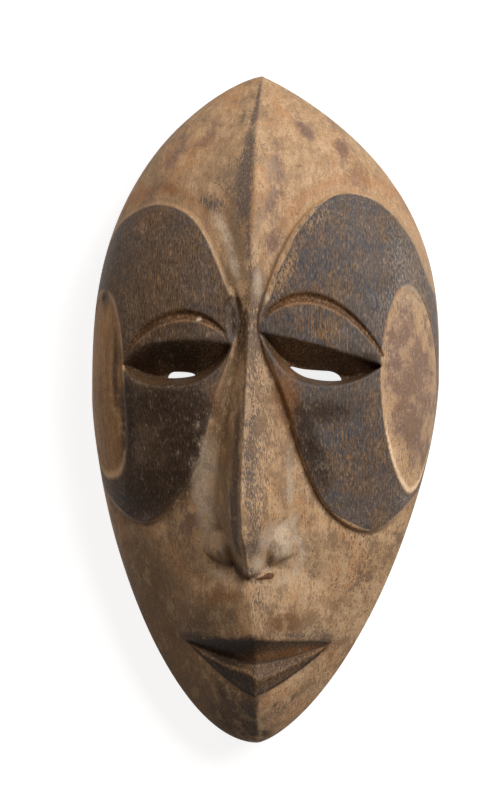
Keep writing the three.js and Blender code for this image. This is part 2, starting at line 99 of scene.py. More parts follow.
def soft_line(distance, width):
    """1 on a line and less to each side of it: e^(-(distance / width)²)."""
    return np.exp(-((distance / width) ** 2))


def ellipse_at(x, y, middle_x, middle_y, half_length, half_width, angle):
    """0 in the middle of a slanting ellipse and 1 on its line: along² + across²."""
    turn = np.radians(angle)
    along = ((x - middle_x) * np.cos(turn) + (y - middle_y) * np.sin(turn)) / half_length
    across = ((y - middle_y) * np.cos(turn) - (x - middle_x) * np.sin(turn)) / half_width
    return along**2 + across**2


def by_side(x, pair, key):
    """The right side's value where x is positive, and the left side's elsewhere."""
    return np.where(x >= 0, pair["right"][key], pair["left"][key])


# %% [markdown]
# ## The hull
# Seen from the front the outline is an almond, a little fuller on the viewer's right. Each quarter of it
# is a superellipse, reach (1 - t^power)^fall. Across the hull the section is another one, full at the
# eyes and almost a roof at the chin, with a low sharp ridge down the middle.

# %% outline and hull
HALF_LENGTH = 75.0
OUTLINE = {
    "right": {"widest_y": 7.0, "crown": (39.6, 2.9, 0.9, 0.3), "chin": (39.6, 1.6, 0.67, -1.2)},
    "left": {"widest_y": 2.5, "crown": (39.1, 2.75, 0.73, 0.3), "chin": (39.1, 1.52, 0.535, -1.2)},
}
STATIONS = {
    "y": (-75, -64, -52, -40, -26, -10, 8, 28, 48, 62, 75),
    "edge": (12.0, 12.0, 12.5, 12.5, 12.0, 10.0, 9.0, 8.5, 9.5, 12.0, 14.5),
    "middle": (13.0, 22.6, 25.0, 28.0, 29.8, 30.3, 30.8, 31.2, 29.0, 24.2, 15.0),
    "belly": (1.1, 1.1, 1.2, 1.4, 1.65, 2.1, 2.5, 2.4, 2.2, 1.9, 1.6),
    "fall": (0.9, 0.9, 0.85, 0.75, 0.62, 0.5, 0.42, 0.42, 0.45, 0.5, 0.6),
    "ridge": (0.0, 0.6, 0.6, 0.3, 0.0, 0.0, 0.0, 1.4, 1.9, 1.7, 0.8),
    "keel": (-1.2, 0.3, 0.2, 0.0, 0.0, 0.0, 0.2, 0.9, 1.2, 1.2, 0.6),
    "tuck": (0.06, 0.06, 0.05, 0.045, 0.04, 0.03, 0.025, 0.02, 0.02, 0.02, 0.02),
}
RIDGE_REACH = 5.0


def outline_x(side, y):
    """The outline's x on one side at y: reach (1 - t^power)^fall, drawn over to the tip's own x by t⁴."""
    widest = OUTLINE[side]["widest_y"]
    sign = 1 if side == "right" else -1
    up = np.clip((y - widest) / (HALF_LENGTH - widest), 0, 1)
    down = np.clip((widest - y) / (HALF_LENGTH + widest), 0, 1)
    edges = []
    for t, name in ((up, "crown"), (down, "chin")):
        reach, power, fall, tip_x = OUTLINE[side][name]
        edges.append(sign * reach * (1 - t**power) ** fall + tip_x * t**4)
    return np.where(y > widest, edges[0], edges[1])


def share_across(x, y, edge_x=outline_x):
    """Where a place stands between the ridge, 0, and the outline, 1."""
    keel = read(STATIONS, "keel", y)
    right = np.maximum(edge_x("right", y) - keel, 1e-6)
    left = np.minimum(edge_x("left", y) - keel, -1e-6)
    return np.clip(np.where(x >= keel, (x - keel) / right, (x - keel) / left), 0, 1)


def hull(x, y):
    """The plain hull: edge + (middle - edge) (1 - share^belly)^fall, and a ridge that fades within 5 mm."""
    share = share_across(x, y)
    edge = read(STATIONS, "edge", y)
    section = (1 - share ** read(STATIONS, "belly", y)) ** read(STATIONS, "fall", y)
    off_ridge = np.abs(x - read(STATIONS, "keel", y))
    ridge = read(STATIONS, "ridge", y) * np.exp(-off_ridge / RIDGE_REACH) * np.sqrt(1 - share)
    return edge + (read(STATIONS, "middle", y) - edge) * section + ridge


print("widest, mm:", sum(OUTLINE[side]["crown"][0] for side in OUTLINE))

# %% [markdown]
# ## The hollow behind
# The back is gouged out to a trough that leaves a wall of about 6 mm. Nobody sees it when the mask
# hangs, so the cuts of the gouge were left as they came: rows of shallow dishes with crests between.

# %% hollow
HOLLOW = {"half_length": 69.0, "width": 0.878, "wall": 6.0, "across": 2.3, "along": 5.0, "fall": 0.5}


def hollow_x(side, y):
    """The hollow's edge: the outline's share of the way out, drawn on a shorter length."""
    keel = read(STATIONS, "keel", y)
    return mix(keel, outline_x(side, y * HALF_LENGTH / HOLLOW["half_length"]), HOLLOW["width"])


def hollow_height(x, y):
    """The trough's ceiling: the hull's middle less the wall, rounded down to the rim both ways."""
    share = share_across(x, y, hollow_x)
    length = np.clip(np.abs(y) / HOLLOW["half_length"], 0, 1)
    across = (1 - share ** HOLLOW["across"]) ** HOLLOW["fall"]
    along = (1 - length ** HOLLOW["along"]) ** HOLLOW["fall"]
    return (read(STATIONS, "middle", y) - HOLLOW["wall"]) * across * along


print("hollow, mm long:", 2 * HOLLOW["half_length"], "and deep:", max(STATIONS["middle"]) - HOLLOW["wall"])

# %% [markdown]
# ## The nose
# The nose is a long three-sided wedge whose upper end runs out into the ridge. Its foot is cut off along
# a flat V, and above that V a small wing swells on each side.

# %% nose and wings
NOSE = {
    "y": (-39, -38, -35, -31.5, -28.5, -25, -22, -16, -6, 4, 16, 30),
    "half": (3.2, 3.3, 3.7, 4.5, 5.7, 7.4, 8.1, 7.7, 6.3, 4.6, 2.9, 2.2),
    "ridge": (31.0, 31.6, 33.2, 36.6, 40.3, 41.7, 41.9, 40.8, 38.2, 35.4, 33.6, 33.0),
}
NOSE_TOP = (26.0, 32.0)
NOSE_FOOT = {"tip_y": -37.3, "slope": 0.55, "undercut": 0.5}
WINGS = {
    "right": {"x": 6.6, "y": -31.0, "half_width": 3.9, "half_height": 5.0, "height": 2.6},
    "left": {"x": -6.7, "y": -31.3, "half_width": 3.7, "half_height": 4.6, "height": 2.3},
}
WING_BLEND = 1.4


def nose_foot(x):
    """The flat V that the nose stands on: tip + slope |x|."""
    return NOSE_FOOT["tip_y"] + NOSE_FOOT["slope"] * np.abs(x)


def with_nose(x, y, z):
    """Raises the wedge, ridge to foot along |x| / half, and the two wings, above the V only."""
    t = np.clip(np.abs(x - read(STATIONS, "keel", y)) / read(NOSE, "half", y), 0, 2)
    wedge = mix(read(NOSE, "ridge", y), z - 0.5, t**0.95)
    nose = rounded_max(wedge, z - 0.35, 1.0)
    wing = {key: by_side(x, WINGS, key) for key in WINGS["right"]}
    off = ((x - wing["x"]) / wing["half_width"]) ** 2 + ((y - wing["y"]) / wing["half_height"]) ** 2
    nose = rounded_max(nose, z + wing["height"] * (1 - np.minimum(off, 3)) - WING_BLEND / 4, WING_BLEND)
    on = ease(-NOSE_FOOT["undercut"], 0, y - nose_foot(x)) * ease(NOSE_TOP[1], NOSE_TOP[0], y)
    return mix(z, np.maximum(nose, z), on)


print("nose, mm high:", max(NOSE["ridge"]))

# %% [markdown]
# ## The mouth
# Under a swollen muzzle the upper lip falls in to the parting, the lower lip climbs to a crest, and all
# of these lines meet at the corners. A mouth like this is drawn first and then cut, so the lines are
# worked out first here too, and the height between two of them is a mix.

# %% muzzle and lips
MUZZLE = {"y": -47.0, "half_width": 18.8, "half_height": 12.0, "height": 2.4}
MUZZLE |= {"squareness": 3.2, "fullness": 1.2}
MOUTH = {
    "right": {"half": 16.7, "corner_y": -52.1, "crest_y": -60.7, "crest_bend": 1.3},
    "left": {"half": 16.1, "corner_y": -51.9, "crest_y": -58.8, "crest_bend": 1.7},
}
LIPS = {"ledge": -51.4, "parting": -56.9, "foot": -64.3}
LIP_RISE = {"parting": -1.9, "crest": 0.7, "foot": -0.3}
LIP_BLEND = 2.0


def mouth_lines(x):
    """The y of each mouth line at x, and how far x still is from the corner, 1 to 0."""
    half, corner, bend = (by_side(x, MOUTH, key) for key in ("half", "corner_y", "crest_bend"))
    t = np.clip(np.abs(x) / half, 0, 1)
    crest = mix(MOUTH["left"]["crest_y"], MOUTH["right"]["crest_y"], ease(-1.6, 1.6, x))
    return {
        "ledge": mix(LIPS["ledge"], corner + 0.3, np.sqrt(t)),
        "parting": mix(LIPS["parting"], corner, t**1.5),
        "crest": mix(crest, corner - 0.15, t**bend),
        "foot": mix(LIPS["foot"], corner - 0.3, t**1.3),
        "within": 1 - t,
    }


def muzzle_swell(x, y):
    """A pillow: height (1 - |x/w|^squareness - (y/h)²)^fullness."""
    off = (np.abs(x) / MUZZLE["half_width"]) ** MUZZLE["squareness"]
    off = off + ((y - MUZZLE["y"]) / MUZZLE["half_height"]) ** 2
    return MUZZLE["height"] * np.maximum(1 - off, 0) ** MUZZLE["fullness"]


def with_mouth(x, y, z):
    """Adds the muzzle above the ledge, and below it the depths of parting, crest and foot, each mixed
    into the next along y."""
    line = mouth_lines(x)
    parting, crest, foot = (rise * line["within"] ** 0.55 for rise in LIP_RISE.values())
    between = {}
    for above, below in (("ledge", "parting"), ("parting", "crest"), ("crest", "foot")):
        between[below] = np.clip((line[above] - y) / np.maximum(line[above] - line[below], 1e-6), 0, 1)
    swell = muzzle_swell(x, y)
    added = mix(foot, 0, ease(0, LIP_BLEND, line["foot"] - y))
    added = np.where(y > line["foot"], mix(crest, foot, between["foot"]), added)
    added = np.where(y > line["crest"], mix(parting, crest, between["crest"] ** 0.9), added)
    upper_lip = mix(muzzle_swell(x, line["ledge"]), parting, between["parting"] ** 0.8)
    added = np.where(y > line["parting"], upper_lip, added)
    return z + np.where((y > line["ledge"]) | (line["within"] <= 0), swell, added)


print("mouth, mm wide:", sum(side["half"] for side in MOUTH.values()))

# %% [markdown]
# ## The raised fields round the eyes
# Each field is a smooth closed line through a few measured points. Outside the line the wood was scooped
# away, which leaves a crisp step. What the forms and, later, the stain need is the distance to the line.

# %% fields
FIELDS = {
    "right": (
        (2.7, 17.6), (4.9, 28.2), (9.3, 38.6), (14.8, 45.6), (21.6, 48.4), (29.0, 45.6), (34.6, 38.4),
        (38.0, 29.0), (42.0, 12.0), (40.0, -8.0), (34.1, -20.4), (26.0, -27.1), (17.8, -22.6), (12.3, -11.6),
        (8.2, 2.2),
    ),
    "left": (
        (-2.6, 18.4), (-5.6, 29.0), (-10.4, 39.4), (-15.2, 44.4), (-21.9, 46.0), (-28.6, 43.8),
        (-33.4, 39.2), (-37.6, 30.0), (-42.0, 12.0), (-40.0, -8.0), (-33.4, -20.2), (-23.9, -25.1),
        (-14.2, -16.6), (-10.2, -6.8), (-7.8, 2.2),
    ),
}
RELIEF = {"right": {"rise": 0.8, "scoop": 0.8}, "left": {"rise": 0.6, "scoop": 0.5}}
FIELD = {"step": 0.55, "scoop_reach": 3.2}


def closed_line(points, steps=10):
    """A closed smooth line: a cubic from point to point, whose slope at each is half the way between its
    two neighbours."""
    p = np.array(points, float)
    slope = (np.roll(p, -1, 0) - np.roll(p, 1, 0)) / 2
    t = (np.arange(steps) / steps)[None, :, None]
    line = cubic(p[:, None], np.roll(p, -1, 0)[:, None], slope[:, None], np.roll(slope, -1, 0)[:, None], t)
    return line.reshape(-1, 2)


FIELD_LINES = {side: closed_line(points) for side, points in FIELDS.items()}


def distance_to(line, x, y):
    """The distance to a closed line, less than 0 inside it."""
    nearest, inside = np.full(x.shape, 1e9), np.zeros(x.shape, bool)
    for (ax, ay), (bx, by) in zip(line, np.roll(line, -1, 0)):
        dx, dy = bx - ax, by - ay
        t = np.clip(((x - ax) * dx + (y - ay) * dy) / (dx * dx + dy * dy), 0, 1)
        nearest = np.minimum(nearest, np.hypot(x - ax - t * dx, y - ay - t * dy))
        if ay != by:
            inside ^= ((ay > y) != (by > y)) & (x < ax + (y - ay) / dy * dx)
    return np.where(inside, -nearest, nearest)


def field_distance(x, y):
    """The distance to the field on this side of the face."""
    out = np.empty(x.shape)
    for side, on in (("right", x >= 0), ("left", x < 0)):
        out[on] = distance_to(FIELD_LINES[side], x[on], y[on])
    return out


def with_fields(x, y, z):
    """Raises what is inside the line, and scoops the wood outside it by depth e^(-distance / reach)."""
    d = field_distance(x, y)
    rise = by_side(x, RELIEF, "rise") * ease(FIELD["step"], 0, d)
    outside = ease(-0.1, FIELD["step"], d) * np.exp(-np.maximum(d, 0) / FIELD["scoop_reach"])
    scoop = by_side(x, RELIEF, "scoop") * outside
    return z + (rise - scoop) * ease(1, 0.9, share_across(x, y))


print("points on each field's line:", [len(line) for line in FIELD_LINES.values()])

# %% [markdown]
# ## The ovals at the temples
# They lie on the side of the head, so they are drawn on a plane that leans with it, and seen from the
# front they look narrow.

# %% ovals
OVALS = {
    "right": {
        "x": 35.5, "y": 4.6, "z": 19.3, "half_girth": 9.3, "half_length": 23.2, "power": 1.85, "tilt": 0.11,
    },
    "left": {
        "x": 35.0, "y": 5.7, "z": 20.0, "half_girth": 8.4, "half_length": 21.2, "power": 2.6, "tilt": 0.0,
    },
}
OVAL = {"lean": 58.0, "depth": 1.1, "step": 0.1}


def oval_at(x, y, z):
    """Under 1 inside the oval: (girth^power + length^power)^(1/power) on the leaning plane."""
    lean = np.radians(OVAL["lean"])
    oval = {key: by_side(x, OVALS, key) for key in OVALS["right"]}
    girth = (np.abs(x) - oval["x"]) * np.cos(lean) - (z - oval["z"]) * np.sin(lean)
    girth = np.abs(girth + oval["tilt"] * (y - oval["y"])) / oval["half_girth"]
    length = np.abs(y - oval["y"]) / oval["half_length"]
    return (girth ** oval["power"] + length ** oval["power"]) ** (1 / oval["power"])


print("ovals, mm long:", [2 * oval["half_length"] for oval in OVALS.values()])

# %% [markdown]
# ## The eyes
# An eye is a V between two curved lines. Its upper slope is long and its lower slope short, and along
# the bottom of the V the cut breaks through to the hollow as a slit. A narrow groove above is the brow.

# %% eyes and brow grooves
# lid and sag: how far, where along the eye from its inner corner, and the arch's fullness
EYES = {
    "right": {
        "inner": (2.6, 17.4), "outer": (29.3, 9.9), "lid": (0.9, 0.5, 1.0), "sag": (8.6, 0.36, 0.9),
        "lower_slope": 1.1, "brow_inner": (3.3, 20.2), "brow_outer": (29.7, 11.6), "brow_rise": 8.6,
        "slit": (8.4, 19.7), "slit_height": 2.2, "slit_middle": 0.73,
    },
    "left": {
        "inner": (-4.0, 14.8), "outer": (-29.4, 10.3), "lid": (3.4, 0.72, 1.1), "sag": (7.5, 0.4, 0.6),
        "lower_slope": 2.0, "brow_inner": (-5.4, 16.9), "brow_outer": (-28.8, 12.4), "brow_rise": 6.4,
        "slit": (-13.2, -19.9), "slit_height": 1.4, "slit_middle": 0.75,
    },
}
BROW_GROOVE = {"half_width": 1.3, "depth": 1.1}
SLIT_WALL = 1.0
SLIT_RUN_OUT = 0.35


def arch(t, middle, fullness):
    """0 at t = 0, 1 at t = middle and 0 again at t = 1: (1 - u²)^fullness on each side of the middle."""
    u = np.where(t < middle, (middle - t) / middle, (t - middle) / (1 - middle))
    return np.maximum(1 - u * u, 0) ** fullness


def eye_lines(side, x):
    """The y of one eye's lines at x, with the share of the way from its inner to its outer corner."""
    eye = EYES[side]
    (x0, y0), (x1, y1) = eye["inner"], eye["outer"]
    (bx0, by0), (bx1, by1) = eye["brow_inner"], eye["brow_outer"]
    t, brow_t = (x - x0) / (x1 - x0), (x - bx0) / (bx1 - bx0)
    chord, (rise, *lid), (sag, *pouch) = mix(y0, y1, t), eye["lid"], eye["sag"]
    lower = chord - sag * arch(np.clip(t, 0, 1), *pouch)
    upper = chord + rise * arch(np.clip(t, 0, 1), *lid)
    bottom = np.minimum(lower + eye["lower_slope"], mix(lower, upper, 0.45))
    along = (x - eye["slit"][0]) / (eye["slit"][1] - eye["slit"][0])
    opening = arch(np.clip(along, 0, 1), eye["slit_middle"], 0.6)
    run_out = arch(np.clip((along + SLIT_RUN_OUT) / (1 + 2 * SLIT_RUN_OUT), 0, 1), 0.5, 1.5)
    brow = mix(by0, by1, brow_t) + eye["brow_rise"] * arch(np.clip(brow_t, 0, 1), 0.5, 0.85)
    return {
        "t": t, "brow_t": brow_t, "lower": lower, "upper": upper, "bottom": bottom, "brow": brow,
        "slit_top": bottom + eye["slit_height"] * opening, "floor_top": bottom + eye["slit_height"] * run_out,
    }


def lines_here(x):
    """Each place's own eye lines."""
    right, left = eye_lines("right", x), eye_lines("left", x)
    return {key: np.where(x >= 0, right[key], left[key]) for key in right}


def groove_reach(line):
    """Half the brow groove's width, which narrows to its ends."""
    return BROW_GROOVE["half_width"] * (0.4 + 0.6 * arch(np.clip(line["brow_t"], 0, 1), 0.5, 0.6))


def brow_depth(x, y):
    """1 at the bottom of the brow groove and 0 at its edges: 1 - |y - brow| / reach."""
    line = lines_here(x)
    on = (line["brow_t"] > 0) & (line["brow_t"] < 1)
    return np.where(on, np.maximum(1 - np.abs(y - line["brow"]) / groove_reach(line), 0), 0)


def in_eye(x, y):
    """True between an eye's upper and lower line."""
    line = lines_here(x)
    return (line["t"] > 0) & (line["t"] < 1) & (y < line["upper"]) & (y > line["lower"])


def with_eyes(x, y, z):
    """Sinks the brow groove, and mixes the skin into the floor of the V by the place between its lines."""
    line = lines_here(x)
    out = z - BROW_GROOVE["depth"] * brow_depth(x, y)
    floor = np.minimum(hollow_height(x, y) + SLIT_WALL, out)
    deep = mix(out, floor, arch(np.clip(line["t"], 0, 1), 0.42, 0.5))
    up = np.clip((y - line["floor_top"]) / np.maximum(line["upper"] - line["floor_top"], 1e-6), 0, 1)
    down = np.clip((line["bottom"] - y) / np.maximum(line["bottom"] - line["lower"], 1e-6), 0, 1)
    return np.where(in_eye(x, y), mix(deep, out, np.maximum(up**0.9, down)), out)


print("slits, mm wide:", [round(abs(eye["slit"][1] - eye["slit"][0]), 1) for eye in EYES.values()])

# %% [markdown]
# ## The marks of tools, hands and time
# No carved surface is as even as its formula. Three kinds of unevenness are added: slow ripples from the
# knife, fine ridges along the grain, and a list of single nicks, each a small dish at its own place. A
# longer notch runs beside the root of the nose. In the hollow the cuts of the gouge overlap, and between
# two dishes the deeper one wins, which is just how the crests between real cuts come about.

# %% unevenness
def ripples(x, y, size, seed, stretch=1.0):
    """Smooth unevenness, mostly within -1 to 1: the sum of 16 seeded waves cos(kx x + ky y / stretch + p),
    about the given size long."""
    rng = np.random.default_rng(seed)
    total = np.zeros(x.shape)
    for angle, phase, pace in rng.uniform((0, 0, 0.6), (2 * np.pi, 2 * np.pi, 1.5), (16, 3)):
        k = 2 * np.pi * pace / size
        total += np.cos(k * (np.cos(angle) * x + np.sin(angle) * y / stretch) + phase)
    return total / 4


def gouge_cuts(u, v, width, length, seed):
    """Overlapping dishes on a jittered grid, 1 in the middle of a cut and least on the crests: the largest
    1 - (du / width)² - (dv / length)² of the nine cuts round a place."""
    across, along = u / width, v / length
    shifts = np.random.default_rng(seed).uniform(-0.35, 0.35, (61, 61, 2))
    column, row = np.floor(across).astype(int), np.floor(along).astype(int)
    best = np.zeros(u.shape)
    for i, j in ((column + a, row + b) for a in (-1, 0, 1) for b in (-1, 0, 1)):
        shift = shifts[i % 61, j % 61]
        du, dv = across - i - 0.5 - shift[..., 0], along - j - 0.5 - shift[..., 1]
        best = np.maximum(best, 1 - du**2 - dv**2)
    return best


# x, y, half length, half width, angle of its long side from the x axis, depth
NICKS = (
    (3.4, -38.4, 2.3, 0.8, 8, 0.55),
    (-23.4, 41.3, 3.3, 0.35, 58, 0.3),
    (-21.4, 39.4, 1.8, 0.3, 50, 0.2),
    (4.2, -66.0, 2.0, 0.35, 48, 0.25),
    (5.3, -65.3, 1.4, 0.3, 50, 0.2),
    (-34.6, 25.2, 1.7, 0.9, 80, 0.5),
    (-11.2, 20.2, 0.7, 0.5, 20, 0.35),
    (-7.6, -56.3, 2.6, 0.4, -30, 0.25),
    (26.5, -44.5, 3.6, 0.5, 62, 0.2),
    (12.0, 63.5, 2.4, 0.5, -50, 0.12),
    (0.3, -73.0, 0.9, 0.7, 0, 0.3),
)
ROOT_NOTCH = (-3.2, 21.0, 6.4, 1.5, 90)
ROOT_NOTCH_DEPTH = 1.0
# mm each way, mm long, and how many times longer along the grain
RIPPLES = ((0.07, 10, 1), (0.035, 4, 1), (0.02, 1.3, 16))


def handled(x, y):
    """What tools and handling add to the front, in mm."""
    added = np.zeros(x.shape)
    for seed, (size, length, stretch) in enumerate(RIPPLES, 1):
        added += size * ripples(x, y, length, seed, stretch)
    for *place, depth in NICKS:
        added -= depth * np.maximum(1 - ellipse_at(x, y, *place), 0)
    return added - ROOT_NOTCH_DEPTH * np.maximum(1 - ellipse_at(x, y, *ROOT_NOTCH), 0) ** 0.7


print("single nicks:", len(NICKS))

# %% [markdown]
# ## The whole front, in the carver's order
# Hull, mouth, nose, fields, ovals, the small marks, and last the eyes. The marks fade out at the outline,
# so that the mask keeps its size.

# %% the front and the back as two heights
def carved(x, y):
    """The front up to the fields, which is what the ovals are drawn on."""
    return with_fields(x, y, with_nose(x, y, with_mouth(x, y, hull(x, y))))


def face(x, y):
    """The finished front."""
    z = carved(x, y)
    z = z - OVAL["depth"] * ease(1, 1 - OVAL["step"], oval_at(x, y, z))
    z = z + handled(x, y) * ease(1, 0.93, share_across(x, y))
    return with_eyes(x, y, z)


def worn(height, x, y, reach):
    """A height as worn wood has it, without knife-sharp edges: the mean over nine places within reach."""
    total = 0.25 * height(x, y)
    for dx, dy in ((1, 0), (-1, 0), (0, 1), (0, -1)):
        total = total + 0.125 * height(x + dx * reach, y + dy * reach)
        total = total + 0.0625 * height(x + 0.7 * (dx + dy) * reach, y + 0.7 * (dy - dx) * reach)
    return total


GOUGE = {"width": 5.2, "length": 11.0, "depth": 0.45, "half_girth": 32}


def back(x, y):
    """The gouged hollow. The cuts are laid out along its girth, so they don't stretch on its sides."""
    share = share_across(x, y, hollow_x)
    girth = GOUGE["half_girth"] * np.arcsin(share) * np.sign(x)
    cuts = gouge_cuts(girth, y, GOUGE["width"], GOUGE["length"], 5) - 0.6
    fade = np.minimum(1, 12 * (1 - share)) * ease(68, 60, np.abs(y))
    return hollow_height(x, y) + (GOUGE["depth"] * cuts + 0.05 * ripples(x, y, 2.2, 6, 5)) * fade


forehead = (np.array([0.0]), np.array([50.0]))
print("wall at the forehead, mm:", (face(*forehead) - back(*forehead)).round(1))

# %% [markdown]
# ## From heights to a grid
# A square grid is bent into the outline, so that there is no pole anywhere and the cells stay nearly
# square. Rows are closer together at the eyes, the nose and the mouth. Each height is the mean over a
# third of a millimetre, because an edge that has been handled for years is rounded about that much.

# %% the bent grid
COLUMNS = 196
# from y, to y, rows
ROWS = (
    (-75, -66, 16), (-66, -50, 44), (-50, -39, 24), (-39, -27, 34),
    (-27, 3, 66), (3, 28, 74), (28, 50, 48), (50, 75, 46),
)
CROWDING = 0.4
WORN = 0.3

row_heights = [np.linspace(start, end, count, endpoint=False) for start, end, count in ROWS]
row_heights = np.concatenate([*row_heights, [HALF_LENGTH]])
row_places = np.arcsin(row_heights / HALF_LENGTH) / (np.pi / 2)
even = np.linspace(-1, 1, COLUMNS + 1)
column_places = even * (1 - CROWDING) + even**3 * CROWDING


def on_outline(columns, rows, edge_x, half_length):
    """The square (a, b) bent onto a disc, a √(1 - b²/2) and b √(1 - a²/2), with its radius r moved to
    sin(π r / 2), and the disc's width then stretched to the outline."""
    a, b = np.meshgrid(columns, rows)
    p, q = a * np.sqrt(1 - b * b / 2), b * np.sqrt(1 - a * a / 2)
    radius = np.maximum(np.hypot(p, q), 1e-9)
    stretch = np.sin(np.minimum(radius, 1) * np.pi / 2) / radius
    rise = np.clip(q * stretch, -1, 1)
    width = np.sqrt(1 - rise**2)
    share = np.where(width > 1e-6, np.clip(p * stretch / np.maximum(width, 1e-6), -1, 1), 0)
    y = half_length * rise
    keel = read(STATIONS, "keel", y)
    edge = np.where(share >= 0, edge_x("right", y), edge_x("left", y))
    return keel + np.abs(share) * (edge - keel), y


grid_x, grid_y = on_outline(column_places, row_places, outline_x, HALF_LENGTH)
grid_z = worn(face, grid_x, grid_y, WORN)
GRID_EDGES = (np.s_[0, :], np.s_[-1, :], np.s_[:, 0], np.s_[:, -1])
for edge in GRID_EDGES:
    grid_z[edge] = read(STATIONS, "edge", grid_y[edge])
print("front grid:", grid_x.shape)

# %% [markdown]
# ## One closed shell
# The front's border goes on down the side to the back edge, which is flat, because the mask lies on it.
# The hollow's grid has half as many rows and columns, so each of its border edges meets two of the
# front's. Every cell is split along the diagonal that lies closer to the true surface.

# %% stitch front, side, back edge and hollow
# share of the way down the side, and how far the corners at the back edge are rounded, in mm
SIDE_LEVELS = (0.12, 0.26, 0.4, 0.54, 0.68, 0.82, 0.955, 1.0)
CORNER_ROUND = 0.35


def cell_triangles(number, x, y, z, height):
    """Two triangles for each cell of a grid of vertex numbers, split along the diagonal whose middle
    misses the true height least."""
    a, b, c, d = (np.s_[:-1, :-1], np.s_[:-1, 1:], np.s_[1:, 1:], np.s_[1:, :-1])

    def miss(p, q):
        return np.abs(height((x[p] + x[q]) / 2, (y[p] + y[q]) / 2) - (z[p] + z[q]) / 2)

    rising = miss(a, c) <= miss(b, d)
    rising[0, 0] = rising[-1, -1] = True
    rising[0, -1] = rising[-1, 0] = False
    na, nb, nc, nd = (number[s] for s in (a, b, c, d))
    one = np.where(rising[..., None], np.stack([na, nb, nc], -1), np.stack([na, nb, nd], -1))
    two = np.where(rising[..., None], np.stack([na, nc, nd], -1), np.stack([nb, nc, nd], -1))
    return np.concatenate([one.reshape(-1, 3), two.reshape(-1, 3)])


def border(number):
    """The border of a grid, anticlockwise seen from the front."""
    return np.concatenate([number[0, :-1], number[:-1, -1], number[-1, :0:-1], number[:0:-1, 0]])


def band(upper, lower):
    """Triangles between two rings of the same count, facing away from the middle."""
    next_upper, next_lower = np.roll(upper, -1), np.roll(lower, -1)
    return np.concatenate([
        np.stack([upper, lower, next_upper], 1),
        np.stack([next_upper, lower, next_lower], 1),
    ])


def doubling_band(fine, coarse):
    """Triangles between a ring and a ring of half its count."""
    first, second, third = fine[0::2], fine[1::2], np.roll(fine[0::2], -1)
    after = np.roll(coarse, -1)
    return np.concatenate([
        np.stack([first, coarse, second], 1),
        np.stack([second, after, third], 1),
        np.stack([second, coarse, after], 1),
    ])


front_number = np.arange(grid_x.size).reshape(grid_x.shape)
points = [np.stack([grid_x, grid_y, grid_z], -1).reshape(-1, 3)]
triangles = [cell_triangles(front_number, grid_x, grid_y, grid_z, face)]
ring = border(front_number)
rim = points[0][ring]
tuck = read(STATIONS, "tuck", rim[:, 1])
count = grid_x.size
for level in SIDE_LEVELS:
    shrink = 1 - tuck * level**1.2 - CORNER_ROUND / 39 * (level == 1)
    points.append(np.stack([rim[:, 0] * shrink, rim[:, 1] * shrink, rim[:, 2] * (1 - level)], 1))
    lower_ring = count + np.arange(len(ring))
    triangles.append(band(ring, lower_ring))
    ring, count = lower_ring, count + len(ring)

trough_x, trough_y = on_outline(column_places[::2], row_places[::2], hollow_x, HOLLOW["half_length"])
trough_z = np.maximum(back(trough_x, trough_y), CORNER_ROUND)
for edge in GRID_EDGES:
    trough_z[edge] = CORNER_ROUND
hollow_number = count + np.arange(trough_x.size).reshape(trough_x.shape)
points.append(np.stack([trough_x, trough_y, trough_z], -1).reshape(-1, 3))
count += trough_x.size
triangles.append(cell_triangles(hollow_number, trough_x, trough_y, trough_z, back)[:, ::-1])
hollow_ring = border(hollow_number)
wider = (1 + CORNER_ROUND / 35, 1 + CORNER_ROUND / HOLLOW["half_length"], 0)
points.append(points[-1][hollow_ring - hollow_number[0, 0]] * wider)
back_ring = count + np.arange(len(hollow_ring))
triangles.append(doubling_band(ring, back_ring))
triangles.append(band(back_ring, hollow_ring))
points, triangles = np.concatenate(points), np.concatenate(triangles)
print("shell:", len(points), "points,", len(triangles), "triangles")


# %% [markdown]
# ## Cutting the slits
# A slit goes straight through the thin floor of the V. A prism with the slit's own outline is taken away
# with a Boolean, which is applied at once.

# %% make the mesh and cut it
def mesh_object(name, places, faces):
    """A mesh object at the origin, from places in mm."""
    mesh = bpy.data.meshes.new(name)
    mesh.from_pydata((np.asarray(places) * MM).tolist(), [], faces)
    mesh.validate()
    made = bpy.data.objects.new(name, mesh)
    bpy.context.scene.collection.objects.link(made)
    return made


def slit_prism(side, steps=28):
    """A prism through the whole mask between the bottom of the V and the top of the slit."""
    start, end = EYES[side]["slit"]
    x = mix(start, end, (1 - np.cos(np.linspace(0, np.pi, steps))) / 2)
    line = eye_lines(side, x)
    outline = np.concatenate([np.stack([x, line["bottom"]], 1), np.stack([x, line["slit_top"]], 1)[-2:0:-1]])
    if side == "left":
        outline = outline[::-1]
    n = len(outline)
    places = np.concatenate([np.column_stack([outline, np.full(n, z)]) for z in (5.0, 50.0)])
    around = [[i, (i + 1) % n, n + (i + 1) % n, n + i] for i in range(n)]
    return mesh_object("slit_" + side, places, around + [list(range(n))[::-1], list(range(n, 2 * n))])


